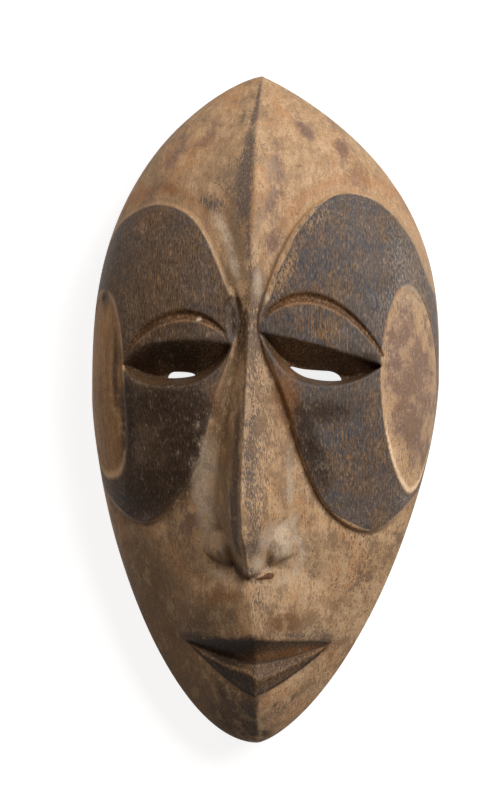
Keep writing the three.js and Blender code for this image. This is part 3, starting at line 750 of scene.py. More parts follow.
mask = mesh_object("carved_mask", points, triangles.tolist())
for side in EYES:
    cutter = slit_prism(side)
    cut = mask.modifiers.new("slit", "BOOLEAN")
    cut.operation, cut.solver, cut.object = "DIFFERENCE", "EXACT", cutter
    cut_mesh = bpy.data.meshes.new_from_object(mask.evaluated_get(bpy.context.evaluated_depsgraph_get()))
    mask.modifiers.clear()
    mask.data = cut_mesh
    bpy.data.objects.remove(cutter)
cleaner = bmesh.new()
cleaner.from_mesh(mask.data)
bmesh.ops.remove_doubles(cleaner, verts=cleaner.verts, dist=0.002 * MM)
bmesh.ops.triangulate(cleaner, faces=[f for f in cleaner.faces if len(f.verts) > 3])
open_edges = sum(1 for e in cleaner.edges if not e.is_manifold)
volume = cleaner.calc_volume(signed=True) / MM**3
cleaner.to_mesh(mask.data)
cleaner.free()
mask.data.shade_smooth()
print("mask:", len(mask.data.polygons), "triangles, open edges:", open_edges)
print("wood, cm³:", round(volume / 1000, 1))

# %% place the piece
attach(mask, "root")
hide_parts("mask")

# %% [markdown]
# ## Where the stain, the soot, the wear and the painted light and shade lie
# A painter would mask these areas by hand. Here each point of the mesh carries numbers that say how far
# it is from the edge of a stained field, an oval, an eye or the lips, how deep it sits in a fold or how
# far it stands out on an edge, and how much soot, rust-brown, dust or bare wood lies there. Some of them
# place painted light and shade: shade in the folds, over the left side and on the left of the chin, and
# highlights on the lower rim of the right oval, just below each brow groove and along the lips' crest. The
# material turns these numbers into colour, and breaks up their edges finer than the mesh could. Marks that
# chance has left, such as a stain or a rubbed place, are soft ellipses, placed one by one, and so are the
# patches of painted shade.

# %% marks left by chance, and patches of painted shade
# slate is cool grey-black dirt rubbed into the ridges, soot is nearly black, though over the left eye and
# the left of the chin it is painted shade, grime is a speckle of dirt, plum and rust are reddish stains, a
# drip has a sharp edge, a chip shows broken wood, dust and ash are pale, umber is a brown stain, though its
# wide patches on the left and lower left are painted shade of the side that turns away from the light,
# bare wood shows through where it was rubbed, threads are ochre streaks, and a scuff is a dull rub.
# x, y, half length, half width, angle of the long side from the x axis, strength
PATCHES = {
    "slate": (
        (0.4, 71, 3.5, 0.5, 88, 0.9), (0.2, 66.5, 3, 0.7, 80, 0.85), (-2.6, 65.5, 2.6, 1, 60, 0.6),
        (-0.8, 60, 4, 1.2, 86, 0.85), (-1.7, 52.6, 5.5, 2.1, 88, 0.95), (-0.8, 46, 5, 1.6, 90, 0.95),
        (-1.1, 49.5, 6, 1.5, 89, 0.8), (-8.5, 46, 4, 1.9, 155, 0.85), (0, 38, 6, 0.8, 90, 0.75),
        (1.2, 28, 6, 1.3, 92, 0.8), (1.6, 16, 10, 1.7, 91, 0.9), (-0.4, 4, 10, 0.8, 92, 0.7),
        (2.6, -28, 9, 1.2, 90, 0.7), (1.5, -8, 16, 1.2, 91, 0.8), (1, -30.9, 2.8, 1.2, 80, 0.9),
        (0.4, -36.4, 2.4, 1.7, 60, 0.85), (-0.2, 58, 8, 0.9, 88, 0.9), (0.6, -10, 15, 0.9, 91, 0.7),
        (4.9, -33.2, 2.2, 0.6, 58, 0.9), (3, 20, 7, 1, 90, 0.5), (29, -41, 6, 0.6, 66, 0.6),
        (32.5, -36, 5, 0.6, 60, 0.4), (18, -38, 5, 1.2, 30, 0.4), (14.5, -50, 3.5, 1.6, 150, 0.6),
        (9, -50.5, 7, 0.8, 176, 0.75), (-14.5, -49, 3, 1.5, 60, 0.5), (-11.3, 18.3, 3, 1.4, 160, 0.5),
    ),
    # soot: nearly black, and painted shade over the left eye and the left of the chin
    "soot_and_painted_shade": (
        (-1.8, -9, 12, 1.1, 91, 0.7), (-2.2, -25, 12, 1.3, 90, 1), (-1.8, 20.2, 6.3, 2.3, 92, 1),
        (-1.2, 17, 5, 1.6, 92, 0.5), (-3.4, 25.4, 2.5, 0.8, 50, 0.8), (0.1, -52.3, 3.5, 1.8, 0, 1),
        (-8.5, -51.6, 9, 1, 175, 0.6), (-7.5, -54.5, 7, 1.6, 150, 0.85), (8, -57.8, 8, 1.4, 30, 0.4),
        (-6, -58.4, 7, 1.6, 146, 0.9), (-7.5, -53, 8, 1, 170, 0.8), (-4.6, -66, 6, 3, 110, 0.6),
        (-18, 19, 9, 2.6, 5, 0.4), (-1.1, -69, 6, 1, 92, 0.85), (-8.8, -69.5, 4, 2, 125, 0.6),
        (-3, -72, 3, 2, 120, 0.7), (-8.2, -63, 2.2, 1, 110, 0.5), (0.2, -65, 2.5, 0.7, 90, 0.8),
        (0.9, -72.8, 1.2, 0.8, 0, 0.9), (0.2, -59.5, 3, 0.5, 90, 0.6), (-6.8, -32.1, 1.3, 0.6, 110, 0.9),
        (-3.5, -34.8, 3, 0.8, 148, 0.8), (-34.6, 25.2, 2, 1.1, 80, 0.9), (-16.8, -13.2, 6, 2.6, 78, 1),
        (-15.4, -2, 6, 4, 84, 0.9), (-18, 1, 11, 3.8, 175, 1), (-23, -18, 9, 5, 20, 1),
        (-19, -7, 13, 10, 90, 0.5), (-12.4, -7, 7, 2.4, 88, 0.8), (-28.6, -3, 10, 1.6, 89, 0.9),
        (-31.5, 9, 10, 0.8, 90, 0.7), (14, -9, 11, 3, 110, 0.9), (18, 0, 8, 3.6, 8, 0.6),
        (26.5, 11.2, 4, 1.6, 160, 0.9), (-17, 12.4, 11, 3.4, 3, 0.95), (11, 54.5, 0.8, 0.5, 0, 0.6),
        (4.2, -66, 2.2, 0.4, 48, 0.7), (7.6, -65, 1.6, 0.3, 52, 0.6),
    ),
    "grime": (
        (-5, 53, 9, 3.6, 100, 0.9), (-3.4, 44, 8, 2.2, 92, 0.8), (-10, 46.4, 5, 1.4, 165, 1),
        (3.5, 54, 18, 3, 92, 0.4), (2.6, 29, 10, 1.8, 92, 0.8), (2.9, -8, 24, 2.6, 90, 1),
        (3, -22, 10, 2.6, 90, 0.8), (22.5, -37, 9, 3.4, 62, 0.8), (21, -30, 6, 2, 50, 0.6),
        (28, -45, 8, 2.2, 62, 0.6), (-18, -30, 6, 4, 40, 0.3), (5, -67, 4, 1.4, 48, 0.7),
        (15, -52, 3, 3, 60, 0.5), (-14, -50, 7, 1.6, 30, 0.7), (31, 22, 6, 3, 60, 0.4),
        (3, -44, 4, 4, 60, 0.8), (13, -62, 7, 2, 48, 0.5), (-11, -46, 5, 3, 20, 0.5),
    ),
    "plum": (
        (6, 50, 9, 2.2, 96, 0.6), (5, 39, 7, 2, 90, 0.6), (11, 63, 3.5, 1.2, 128, 0.9),
        (19.5, 58.5, 3, 1.5, 110, 0.9), (3.2, 27, 8, 1.6, 90, 0.5), (16, 66, 3, 1.2, 130, 0.5),
        (-10, 62, 10, 2.5, 50, 0.4), (-19, 56, 8, 2.2, 62, 0.5), (-24, 48, 6, 1.5, 70, 0.5),
        (24, 50, 8, 1.4, 125, 0.4), (33, -30, 6, 2, 66, 0.4), (-20, -28.5, 4, 1.6, 20, 0.6),
        (34.5, 9, 13, 5.2, 92, 1), (35, -5, 8, 3.6, 98, 0.8), (34, 21, 3, 2, 100, 0.5),
        (-13.6, -24.8, 3.4, 1.8, 25, 1),
    ),
    "rust": (
        (-18.9, 49.8, 2.4, 1.4, 150, 1), (-23, 43, 7, 3, 20, 0.4), (-13, 58, 8, 1.2, 42, 0.4),
        (8.4, 3.5, 6, 2.4, 108, 0.8), (10.5, -6, 7, 1.6, 112, 0.5), (-9, 1.5, 6, 2.2, 70, 0.6),
        (-4.7, -14, 10, 0.35, 92, 0.8), (11, 25, 7, 3, 30, 0.4), (15, 38, 6, 3, 20, 0.35),
        (7.5, -47.6, 3.6, 2.6, 8, 1), (-6.6, -41.7, 4.4, 1.7, 0, 1), (33, -24, 3, 1.5, 60, 0.4),
        (8.3, 1.6, 6.5, 3, 102, 1), (22, 55, 10, 1.6, 130, 0.5), (-26, -36, 6, 3, 60, 0.3),
        (-12, -38, 8, 3, 150, 0.45), (14, -58, 8, 2, 50, 0.45), (11.5, -45, 3.5, 1.4, 160, 0.4),
        (-17, -20, 5, 3, 60, 0.4), (8, -54.3, 8, 1.1, 8, 0.9),
    ),
    "drip": (
        (7.5, -47.6, 3.1, 2.3, 8, 1), (-6.6, -41.7, 3.6, 1, 0, 0.6), (-14, -24.5, 2.4, 1.4, 40, 0.6),
    ),
    "chip": (
        (4.2, -37.1, 1.3, 0.8, 8, 1), (2.4, -37.7, 1.5, 0.35, 12, 1),
    ),
    "dust": (
        (-6.3, 40.4, 4.5, 1.7, 114, 0.8), (-3, 31.5, 5, 1.3, 106, 0.7), (-10.4, -21, 8, 2.6, 101, 1),
        (-9.4, -12, 8, 2.6, 100, 0.7), (-9.8, -27.6, 4, 1.4, 60, 0.6), (-4.9, -30, 2.8, 0.8, 125, 1),
        (2.1, -34.2, 2, 1.4, 75, 0.9), (7, -30.6, 3.4, 2.6, 80, 1), (3.6, -30, 3, 1.1, 90, 0.8),
        (-5.4, -31, 3.4, 2.4, 110, 1), (-7.5, -36.6, 5, 1.2, 155, 0.6), (5.4, -27.5, 3.2, 1.8, 80, 0.7),
        (9, -17, 9, 1.1, 92, 0.8), (8.2, -25.6, 3.2, 1.2, 40, 1), (10.9, -29.5, 3.4, 0.7, 110, 0.95),
        (10.6, -34, 3, 1, 70, 0.7), (8, -37.5, 5, 1.4, 25, 0.6), (11, -42.5, 3, 1.2, 110, 0.5),
        (3.6, -35.8, 1.8, 0.4, 25, 0.7), (4.4, 25.3, 1.3, 0.45, 88, 1), (-11.2, 20.3, 0.6, 0.4, 30, 1),
        (2.4, 28, 4, 1.2, 92, 0.7), (4.6, 52, 5, 2, 100, 0.4),
    ),
    "ash": (
        (31, 24, 6, 3, 60, 0.4), (33.5, 34, 8, 3, 104, 0.4), (33.3, -20.3, 3.5, 1.8, 120, 0.5),
        (13, -49.6, 5, 0.9, 172, 0.4), (2, 44, 14, 0.8, 92, 0.3), (35, 28, 9, 2.5, 106, 0.6),
    ),
    # umber: brown stain, and in its wide patches on the left and lower left, painted shade
    "umber_and_painted_shade": (
        (-22, 20, 34, 15, 90, 0.9), (-20, -12, 18, 10, 90, 0.8), (-22, -44, 14, 9, 112, 0.5),
        (-14, -62, 12, 6, 128, 0.85), (-9, -46, 8, 4.5, 15, 0.9), (-4.6, -8, 26, 2.6, 91, 0.7),
        (-2.4, 38, 14, 2, 92, 0.7), (-4, 27, 9, 2, 80, 0.6), (-9, -56, 10, 4, 148, 0.9),
        (25, -12, 10, 6, 80, 0.5), (9, 27, 8, 3, 75, 0.4), (8.3, 3, 5, 3, 95, 0.8), (9, -57, 8, 3, 30, 0.8),
        (-8, 54, 12, 4, 80, 0.35), (-3.5, 42, 8, 2, 98, 0.6), (7, -57, 7, 1.3, 22, 0.8),
        (-5.6, -66, 8, 4.2, 115, 1.2), (-6.5, -57.8, 6, 1.5, 146, 1), (-16, -56, 10, 4, 118, 0.8),
        (-24, -40, 15, 6, 115, 0.7), (-13.6, -24.8, 2.8, 1.4, 25, 0.7), (-3.4, 36, 9, 1.4, 100, 0.5),
        (-14, -60, 8, 4, 128, 0.7), (17, -31, 6, 4, 60, 0.45), (-1, -73, 5, 2, 0, 0.6),
        (7.5, -47.8, 3, 2.1, 8, 0.8), (-6.6, -41.8, 3.8, 1.3, 0, 0.8),
    ),
    "bare": (
        (9.5, 33, 6, 1.4, 62, 0.5), (7.5, 29, 5, 1.8, 70, 0.5), (5.5, -22, 7, 1.6, 96, 0.3),
        (15, 42, 5, 1.4, 50, 0.4), (27.5, -33, 5, 3, 60, 0.9), (34, -13, 8, 2, 100, 0.5),
    ),
    "threads": (
        (15.5, 17.5, 10, 4, 163, 0.8), (18, 34, 12, 7, 100, 0.5), (20, -8, 14, 8, 105, 0.6),
        (-18, 30, 14, 9, 90, 0.45), (33, -2, 14, 4, 90, 0.7), (3.5, -15, 20, 2.5, 90, 0.6),
        (-33, 0, 14, 3, 90, 0.5),
    ),
    "scuff": (
        (25, -38, 10, 4, 62, 0.8), (19, -31, 7, 1.6, 48, 0.6), (30, -30, 5, 1.5, 70, 0.6),
        (14, -53, 5, 2, 60, 0.5), (-8, 47, 5, 2, 130, 0.5), (-16, 60, 7, 1.3, 50, 0.5),
        (27, 45, 7, 1.2, 122, 0.4), (6, -66, 5, 1.4, 50, 0.6), (-16, -36, 8, 3, 120, 0.4),
        (13, -66, 6, 2, 50, 0.5),
    ),
}
# Where the stain is rubbed back from its edge, by up to RUBBED_BACK mm.
RUBBED_STAIN = (
    (12.5, 42.5, 5, 0.9, 50, 0.8), (8.6, 35, 5, 1.1, 62, 0.6), (5.4, 27, 5, 1, 74, 0.6),
    (14, 38, 4, 1.2, 50, 0.5), (-12, 8, 3, 1, 60, 0.4), (33, 38, 5, 0.8, 118, 0.5),
    (23, -26, 5, 0.6, 150, 0.4),
)
RUBBED_BACK = 2.2
print("marks:", {name: len(patches) for name, patches in PATCHES.items()})

# %% measure the mesh
def patch_amount(patches, x, y):
    """How much of one kind lies at a place: the patches' soft ellipses, strength e^(-(along² + across²)),
    laid over one another so that the sum can't pass 1."""
    clear = np.ones(x.shape)
    for *place, strength in patches:
        clear = clear * (1 - strength * np.exp(-ellipse_at(x, y, *place)))
    return 1 - clear


def mesh_places(mesh):
    """The mesh's points in mm, their normals, and its edges as pairs of points."""
    places, normals = np.empty((2, len(mesh.vertices) * 3))
    mesh.vertices.foreach_get("co", places)
    mesh.vertex_normals.foreach_get("vector", normals)
    edges = np.empty(len(mesh.edges) * 2, int)
    mesh.edges.foreach_get("vertices", edges)
    return places.reshape(-1, 3) / MM, normals.reshape(-1, 3), edges.reshape(-1, 2)


def relief(places, normals, edges, rounds):
    """How far each point stands out, in mm, from the mean of its surroundings: the mesh is averaged along
    its edges for a number of rounds, and the way each point moved is measured along its normal."""
    ends = np.concatenate([edges, edges[:, ::-1]])
    share = np.bincount(ends[:, 0], minlength=len(places))[:, None]
    smooth = places
    for _ in range(rounds):
        neighbours = smooth[ends[:, 1]].T
        summed = np.stack([np.bincount(ends[:, 0], values, len(places)) for values in neighbours], 1)
        smooth = 0.5 * smooth + 0.5 * summed / share
    return ((places - smooth) * normals).sum(1)


places, normals, edges = mesh_places(mask.data)
x, y, z = places.T
on_side = ease(1.0, 4.0, read(STATIONS, "edge", y) - z) * (share_across(x, y) > 0.94)
inside = np.where((normals[:, 2] < 0.1) & (z < back(x, y) + 0.4) & (on_side < 0.5), 1.0, 0.0)
front = 1 - inside
stand_out, stand_out_wide = relief(places, normals, edges, 8), relief(places, normals, edges, 60)
print("points in the hollow:", int(inside.sum()), "of", len(places))

# %% distances to what was carved
# A distance in mm is more than 0 inside its area, and none is kept beyond FAR. The side of the mask has
# no stain, so every distance is moved outside there, by more than FAR.
FAR = 9
OFF_THE_SIDE = 12
OVAL_HALF = 9
eye, mouth = lines_here(x), mouth_lines(x)
field_mm = -field_distance(x, y)
oval_mm = (1 - oval_at(x, y, carved(x, y))) * OVAL_HALF
cut_mm = np.where((eye["t"] > 0) & (eye["t"] < 1), np.minimum(y - eye["lower"], eye["upper"] - y), -1)
lips_mm = np.where(mouth["within"] > 0, np.minimum(mouth["ledge"] - y, y - mouth["foot"]), -1)
lip_lines = (
    soft_line(y - mouth["foot"] - 0.25, 0.4)
    + 0.7 * soft_line(y - mouth["ledge"] + 0.3, 0.4)
    + 0.9 * soft_line(y - mouth["parting"], 0.35)
)
above_ledge = y - mouth["ledge"]
above_lips = np.exp(-np.maximum(above_ledge, 0) / 1.6) * (above_ledge > -0.2) * (mouth["within"] > 0)
along_brow = (eye["brow_t"] > 0.05) & (eye["brow_t"] < 0.97)
# a painted highlight: a thin line just below each brow groove, where the top of the lid faces the light
lid_highlight = soft_line(eye["brow"] - groove_reach(eye) - y - 0.1, 0.35) * along_brow
rubbed_mm = RUBBED_BACK * patch_amount(RUBBED_STAIN, x, y)
open_wood = ease(-0.2, 0.6, np.maximum(-field_mm, oval_mm)) * (lips_mm < 0)
print("widest place inside a field, mm:", round(float(field_mm.max()), 1))

# %% the numbers of each point
# The patches fade on the side, which only handling has darkened.
SIDE_FADE = 0.75
numbers = {
    "stain_mm": np.minimum(field_mm, -oval_mm) - rubbed_mm,
    # scraped wood and a painted highlight: a pale line along the lower rim of the right oval, whose wall
    # faces the light
    "oval_rim_wear_and_highlight": soft_line(oval_mm - 0.25, 0.3) * ease(6, -8, y) * (x > 0),
    "halo": soft_line(field_mm + 0.9, 0.8) * ease(28, 40, y),
    "ring": soft_line(field_mm + 3.2, 1.5) * ease(30, 42, y),
    "oval_mm": oval_mm,
    "left_oval_mm": np.where(x < 0, oval_mm, -FAR),
    "cut_mm": cut_mm,
    "groove": brow_depth(x, y),
    "lips_mm": lips_mm,
    "lips_above": above_lips * mix(1, 0.85, ease(0, 3, x)),
    "lip_lines": lip_lines * ease(0, 0.12, mouth["within"]),
    # dirt and painted shade in the folds: how far the mesh lies below its near and its wider surroundings
    "fold_dirt_and_shade": np.clip(-stand_out / 0.05, 0, 1) * 0.5 + np.clip(-stand_out_wide / 0.35, 0, 1) * 0.5,
    # paler on the raised edges, as wear, and most on the lips, where the pale line along their crest is a
    # painted highlight
    "crest": np.clip(stand_out / 0.07, 0, 1) * (0.2 + 0.8 * ease(-1.0, 0.5, lips_mm)),
    "lid_highlight": lid_highlight * 0.9,
    "all": np.ones(x.shape),
    "field": ease(-0.2, 0.3, np.minimum(field_mm, -oval_mm)) * (cut_mm < 0),
    "worked": open_wood * front * mix(1, 0.6, ease(20, 45, y)) * mix(1, 0.85, ease(-12, -25, x)),
    "inside": inside,
    "side": on_side,
}
for name, patches in PATCHES.items():
    numbers[name] = patch_amount(patches, x, y) * front * (1 - SIDE_FADE * on_side)
numbers["grime"] += 0.25 + 0.3 * ripples(x, y, 14, 7)
for name in ("field", "oval_rim_wear_and_highlight", "halo", "ring"):
    numbers[name] = numbers[name] * (1 - on_side)
for name in ("stain_mm", "oval_mm", "left_oval_mm", "cut_mm", "lips_mm"):
    numbers[name] = np.where(inside > 0.5, -FAR, np.clip(numbers[name] - OFF_THE_SIDE * on_side, -FAR, FAR))
for name, values in numbers.items():
    attribute = mask.data.attributes.new(name, "FLOAT", "POINT")
    attribute.data.foreach_set("value", np.asarray(values, np.float32))
print("numbers at each point:", len(numbers))

# %% [markdown]
# ## Light wood under stain, soot and years of handling
# Light, open-pored wood carved with the grain up the face, left unvarnished, partly blackened and then
# rubbed. The eye reads four things: streaks and short dark pores along the grain, a matt stain that has
# worn through to brown on every edge, dirt in every fold, and pale dust. Light and shade are painted in
# too: shade in the folds, over the left side, which turns away from the light, and on the left of the chin,
# and pale highlights along a few lit edges. The material is built as coats of colour from the wood up. Each
# coat has two tones, which a noise mixes, and one number of the mesh that says where it lies, roughened by
# a noise so that no edge is drawn with a ruler.

# %% one function for colours and one for nodes
def colour(hex_value):
    """An sRGB hex colour as linear red, green, blue and 1."""
    parts = np.array([int(hex_value[i : i + 2], 16) for i in (1, 3, 5)]) / 255
    return (*np.where(parts <= 0.04045, parts / 12.92, ((parts + 0.055) / 1.055) ** 2.4), 1)


def add(tree, kind, inputs=(), **settings):
    """Adds a node to a tree. An input is a value for its socket, or the output that feeds it."""
    made = tree.nodes.new(kind)
    for name, value in settings.items():
        setattr(made, name, value)
    for name, value in dict(inputs).items():
        if isinstance(value, bpy.types.NodeSocket):
            tree.links.new(value, made.inputs[name])
        else:
            made.inputs[name].default_value = value
    return made


# %% patterns of the wood
wood = bpy.data.materials.new("light wood, carved, stained and handled")
wood.use_nodes = True
tree = wood.node_tree
tree.nodes.clear()
here = add(tree, "ShaderNodeTexCoord").outputs["Object"]
# name: length across and along the grain in mm, detail, roughness. Real pores and dust are about a tenth
# of a millimetre wide. Fibre, fleck and speck are three times that, because a pixel is 0.23 mm.
PATTERNS = {
    "blotch": (9.0, 14.0, 5, 0.6),
    "mottle": (3.4, 5.0, 6, 0.7),
    "streak": (0.9, 11.0, 4, 0.6),
    "fibre": (0.3, 6.0, 2, 0.6),
    "fleck": (0.34, 1.1, 3, 0.65),
    "speck": (0.3, 0.45, 3, 0.7),
}
pattern = {}
for seed, (name, (across, along, detail, rough)) in enumerate(PATTERNS.items(), 1):
    scale = (1 / (across * MM), 1 / (along * MM), 1 / (across * MM))
    place = (7.3 * seed, 3.1 * seed, 0)
    moved = add(tree, "ShaderNodeMapping", {"Vector": here, "Location": place, "Scale": scale})
    noise = add(tree, "ShaderNodeTexNoise", {
        "Vector": moved.outputs["Vector"], "Scale": 1.0, "Detail": detail, "Roughness": rough,
    })
    pattern[name] = noise.outputs["Fac"]
print("patterns:", ", ".join(pattern))

# %% coats of colour, from the wood up
# number of the mesh, where it starts and is full, noise that roughens it and by how much, strength,
# noise that mixes the two tones, dark tone, light tone
COATS = (
    # light wood, mottled, and darker at the side, and dirt and painted shade in the folds
    ("all", -1.0, -0.9, "blotch", 0.0, 1.0, "streak", "#9d7a57", "#c3a07c"),
    ("all", 0.95, 1.35, "mottle", 2.4, 0.55, "fleck", "#846a50", "#a98f72"),
    ("all", 1.0, 1.5, "blotch", -2.0, 0.5, "mottle", "#a87345", "#c08e60"),
    ("all", 1.05, 1.5, "mottle", -2.2, 0.4, "fleck", "#c6a27c", "#dcbd98"),
    ("side", 0.3, 1.0, "blotch", 0.4, 0.7, "streak", "#6e5742", "#8f7358"),
    ("fold_dirt_and_shade", 0.35, 1.0, "fleck", 0.7, 0.38, "streak", "#4a3422", "#6b4d33"),
    ("ring", 0.2, 0.9, "mottle", 1.2, 0.45, "fleck", "#a06c40", "#ba8454"),
    ("halo", 0.3, 0.9, "mottle", 1.6, 0.5, "fleck", "#b58d63", "#d0aa80"),
    ("scuff", 0.55, 1.0, "mottle", 2.0, 0.6, "fleck", "#54453b", "#7c695b"),
    # the blackened fields with brown and blue-grey places in them, then the bare ovals
    ("stain_mm", -0.05, 0.25, "fleck", 0.5, 1.0, "fleck", "#483e39", "#625750"),
    ("field", 1.0, 1.5, "blotch", 2.2, 0.65, "fleck", "#4c3a2a", "#7c634a"),
    ("field", 1.0, 1.5, "mottle", -2.6, 0.7, "fleck", "#38383f", "#585759"),
    # umber: brown stain, and painted shade over the left and lower left of the face
    ("umber_and_painted_shade", 0.1, 0.9, "blotch", 0.3, 0.7, "fleck", "#44301d", "#6f5437"),
    ("field", 1.1, 1.6, "fleck", 1.8, 0.3, "mottle", "#241f20", "#3a302a"),
    ("field", 1.1, 1.6, "fibre", 1.6, 0.55, "speck", "#70523a", "#a37b50"),
    ("oval_mm", -0.1, 0.3, "fleck", 0.3, 1.0, "mottle", "#ac855e", "#e4c09a"),
    ("left_oval_mm", 0.0, 1.0, "mottle", 1.2, 0.9, "streak", "#7c5836", "#b98a58"),
    # stains, cuts and lips
    ("plum", 0.15, 0.8, "mottle", 1.0, 0.9, "fleck", "#62493e", "#8d7166"),
    ("groove", 0.02, 0.3, "fleck", 0.2, 1.0, "fleck", "#37230f", "#745234"),
    # a painted highlight just below each brow groove
    ("lid_highlight", 0.3, 0.9, "fleck", 0.5, 0.6, "streak", "#80592f", "#a5784b"),
    ("cut_mm", 0.0, 0.3, "speck", 0.2, 1.0, "fleck", "#342213", "#664a30"),
    ("lips_above", 0.2, 1.0, "mottle", 0.6, 0.6, "fleck", "#33271f", "#54433a"),
    ("lips_mm", -0.1, 0.4, "mottle", 0.5, 0.95, "fleck", "#36271b", "#6c5139"),
    # what years of handling, smoke and dust have left, and painted shade
    ("rust", 0.1, 0.9, "mottle", 0.5, 0.75, "fleck", "#6c4325", "#9c6c40"),
    ("drip", 0.34, 0.46, "mottle", 0.15, 0.7, "fleck", "#644328", "#8a6441"),
    ("bare", 0.2, 0.8, "fleck", 1.4, 0.7, "speck", "#8c6e4e", "#b9946a"),
    ("threads", 1.0, 1.3, "fibre", 2.3, 0.75, "speck", "#86592c", "#b5834e"),
    ("grime", 0.9, 1.4, "fleck", 2.6, 0.65, "speck", "#3c332d", "#6c6057"),
    ("all", 1.1, 1.7, "fibre", 1.9, 0.3, "blotch", "#4f3a28", "#7a5f45"),
    # soot, and painted shade over the left eye and the left of the chin
    ("soot_and_painted_shade", 0.1, 0.8, "mottle", 0.7, 0.92, "fleck", "#1c120a", "#3f2d1e"),
    ("lip_lines", 0.3, 1.0, "fleck", 0.9, 0.9, "fleck", "#150e08", "#33261b"),
    ("slate", 0.2, 0.9, "fleck", 1.3, 0.85, "speck", "#37302f", "#665b56"),
    ("ash", 0.15, 0.9, "fleck", 1.2, 0.6, "fleck", "#675e56", "#9a8e80"),
    ("dust", 0.15, 0.9, "mottle", 1.0, 0.8, "fleck", "#a08970", "#dac8b1"),
    # rubbed edges, with painted highlights on the lower rim of the right oval and on the lips' crest, pores
    # and pale wood between them, the broken place and the hollow
    ("oval_rim_wear_and_highlight", 0.35, 0.85, "fleck", 0.4, 0.9, "fleck", "#d6b088", "#f0d6b6"),
    # wear on the raised edges, and a painted highlight along the lips' crest
    ("crest", 0.6, 1.2, "fleck", 0.8, 0.25, "streak", "#8e6a46", "#b38b60"),
    ("worked", 1.2, 1.7, "fleck", 3.0, 0.6, "speck", "#43342a", "#6f5948"),
    ("worked", 1.25, 1.8, "fleck", -3.0, 0.5, "speck", "#b8956f", "#dcc09b"),
    ("worked", 1.1, 1.7, "mottle", 3.2, 0.45, "fleck", "#5a412c", "#86674a"),
    ("worked", 1.2, 1.8, "mottle", -3.2, 0.4, "fleck", "#b58f68", "#d3b28c"),
    ("chip", 0.4, 0.5, "fleck", 0.2, 0.95, "fleck", "#42240f", "#6f482c"),
    ("inside", 0.3, 0.7, "blotch", 0.3, 1.0, "streak", "#5d4530", "#8a6a4b"),
)
tone = None
for number, start, full, edge_noise, edge_amount, strength, tone_noise, dark, light in COATS:
    value = add(tree, "ShaderNodeAttribute", attribute_name=number).outputs["Fac"]
    rough_edge = add(tree, "ShaderNodeMath", {0: pattern[edge_noise], 1: 0.5}, operation="SUBTRACT")
    rough_edge = add(tree, "ShaderNodeMath", {
        0: rough_edge.outputs[0], 1: edge_amount * 2, 2: value,
    }, operation="MULTIPLY_ADD")
    amount = add(tree, "ShaderNodeMapRange", {
        "Value": rough_edge.outputs[0], "From Min": start, "From Max": full, "To Max": strength,
    }, interpolation_type="SMOOTHSTEP")
    spread = add(tree, "ShaderNodeMapRange", {"Value": pattern[tone_noise], "From Min": 0.3, "From Max": 0.7})
    coat = add(tree, "ShaderNodeMix", {
        "Factor": spread.outputs["Result"], 6: colour(dark), 7: colour(light),
    }, data_type="RGBA").outputs[2]
    if tone is None:
        tone = coat
    else:
        under_and_over = {"Factor": amount.outputs["Result"], 6: tone, 7: coat}
        tone = add(tree, "ShaderNodeMix", under_and_over, data_type="RGBA").outputs[2]
print("coats of colour:", len(COATS))

# %% fine grain over all coats
def weigh(start, **weights):
    """A sum of patterns: start + weight × pattern + ..."""
    for name, weight in weights.items():
        inputs = {0: pattern[name], 1: weight, 2: start}
        start = add(tree, "ShaderNodeMath", inputs, operation="MULTIPLY_ADD").outputs[0]
    return start


grain = weigh(0.04, speck=0.7, fleck=1.0, mottle=0.3)
tone = add(tree, "ShaderNodeVectorMath", {0: tone, "Scale": grain}, operation="SCALE").outputs["Vector"]

# %% fine relief and gloss
height = weigh(pattern["speck"], fibre=0.8, fleck=1.2)
bump = add(tree, "ShaderNodeBump", {"Height": height, "Strength": 0.5, "Distance": 0.12 * MM})
gloss = add(tree, "ShaderNodeMapRange", {"Value": pattern["blotch"], "To Min": 0.5, "To Max": 0.72})
shader = add(tree, "ShaderNodeBsdfPrincipled", {
    "Base Color": tone, "Roughness": gloss.outputs["Result"], "Normal": bump.outputs["Normal"],
    "Specular IOR Level": 0.25,
})
add(tree, "ShaderNodeOutputMaterial", {"Surface": shader.outputs["BSDF"]})
mask.data.materials.clear()
mask.data.materials.append(wood)
print("material:", wood.name, "with", len(tree.nodes), "nodes")

# %% [markdown]
# ## Floor, light and camera
# A white sheet of acrylic that is lit from below gives the plain ground. One large soft lamp stands to
# the upper right and a weaker, slightly warm one to the upper left, and a dim warm room opens the
# shadows. A long lens looks from nine degrees to the right of the mask's own axis.

# %% floor
FLOOR = 3000
corners = [(-FLOOR, -FLOOR, 0), (FLOOR, -FLOOR, 0), (FLOOR, FLOOR, 0), (-FLOOR, FLOOR, 0)]
floor = mesh_object("floor", corners, [(0, 1, 2, 3)])
table_top = bpy.data.materials.new("white acrylic, lit from below")
table_top.use_nodes = True
acrylic = table_top.node_tree.nodes["Principled BSDF"].inputs
acrylic["Base Color"].default_value = colour("#a8a8a6")
acrylic["Roughness"].default_value = 0.6
acrylic["Emission Color"].default_value = colour("#ffffff")
acrylic["Emission Strength"].default_value = 0.85
floor.data.materials.append(table_top)
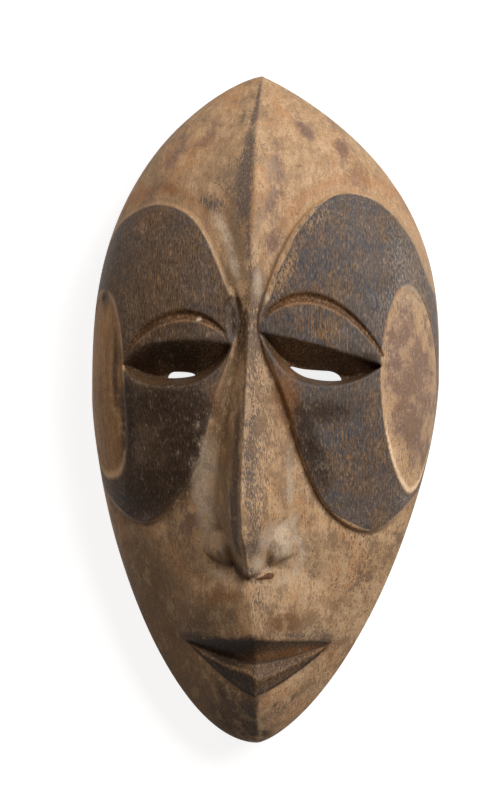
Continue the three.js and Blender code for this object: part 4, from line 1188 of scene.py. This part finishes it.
# The glow would light the wood from below, which the photograph shows nothing of.
floor.visible_diffuse = False
print("floor, mm wide:", 2 * FLOOR)

# %% camera
VIEW_TURN = math.radians(9)
VIEW_HEIGHT = 180.2 * MM
VIEW_DISTANCE = 2.0
# The middle of the picture: mm to the camera's right, up the mask and towards the camera.
AIM = (-4.46, 2.2, 12.0)
toward = np.array([math.sin(VIEW_TURN), 0, math.cos(VIEW_TURN)])
sideways = np.array([math.cos(VIEW_TURN), 0, -math.sin(VIEW_TURN)])
aim = (sideways * AIM[0] + np.array([0, AIM[1], 0]) + toward * AIM[2]) * MM
camera_data = bpy.data.cameras.new("camera")
camera_data.sensor_width = 36
camera_data.lens = 36 * VIEW_DISTANCE / VIEW_HEIGHT
camera = bpy.data.objects.new("camera", camera_data)
camera.location = aim + toward * VIEW_DISTANCE
camera.rotation_euler = (0, VIEW_TURN, 0)
bpy.context.scene.collection.objects.link(camera)
bpy.context.scene.camera = camera
print("lens, mm:", round(camera_data.lens))

# %% lamps and room
# name: direction it comes from, distance, width, watts, tint
LAMPS = {
    "key": ((0.62, 0.43, 0.66), 1.0, 0.6, 12.2, "#ffffff"),
    "fill": ((-0.7, 0.65, 0.42), 1.2, 1.0, 4.5, "#fff6ec"),
}
for name, (direction, distance, width, watts, tint) in LAMPS.items():
    lamp_data = bpy.data.lights.new(name, "AREA")
    lamp_data.shape, lamp_data.size, lamp_data.energy = "SQUARE", width, watts
    lamp_data.color = colour(tint)[:3]
    lamp = bpy.data.objects.new(name, lamp_data)
    lamp.location = Vector(direction).normalized() * distance
    lamp.rotation_mode = "QUATERNION"
    lamp.rotation_quaternion = Vector(direction).to_track_quat("Z", "Y")
    lamp.visible_camera = False
    bpy.context.scene.collection.objects.link(lamp)

room = bpy.data.worlds.new("dim warm room")
room.use_nodes = True
room_light = room.node_tree.nodes["Background"].inputs
room_light["Color"].default_value = colour("#ffdcb8")
room_light["Strength"].default_value = 0.06
bpy.context.scene.world = room
bpy.context.scene.view_settings.view_transform = "Standard"
print("lamps:", ", ".join(LAMPS))
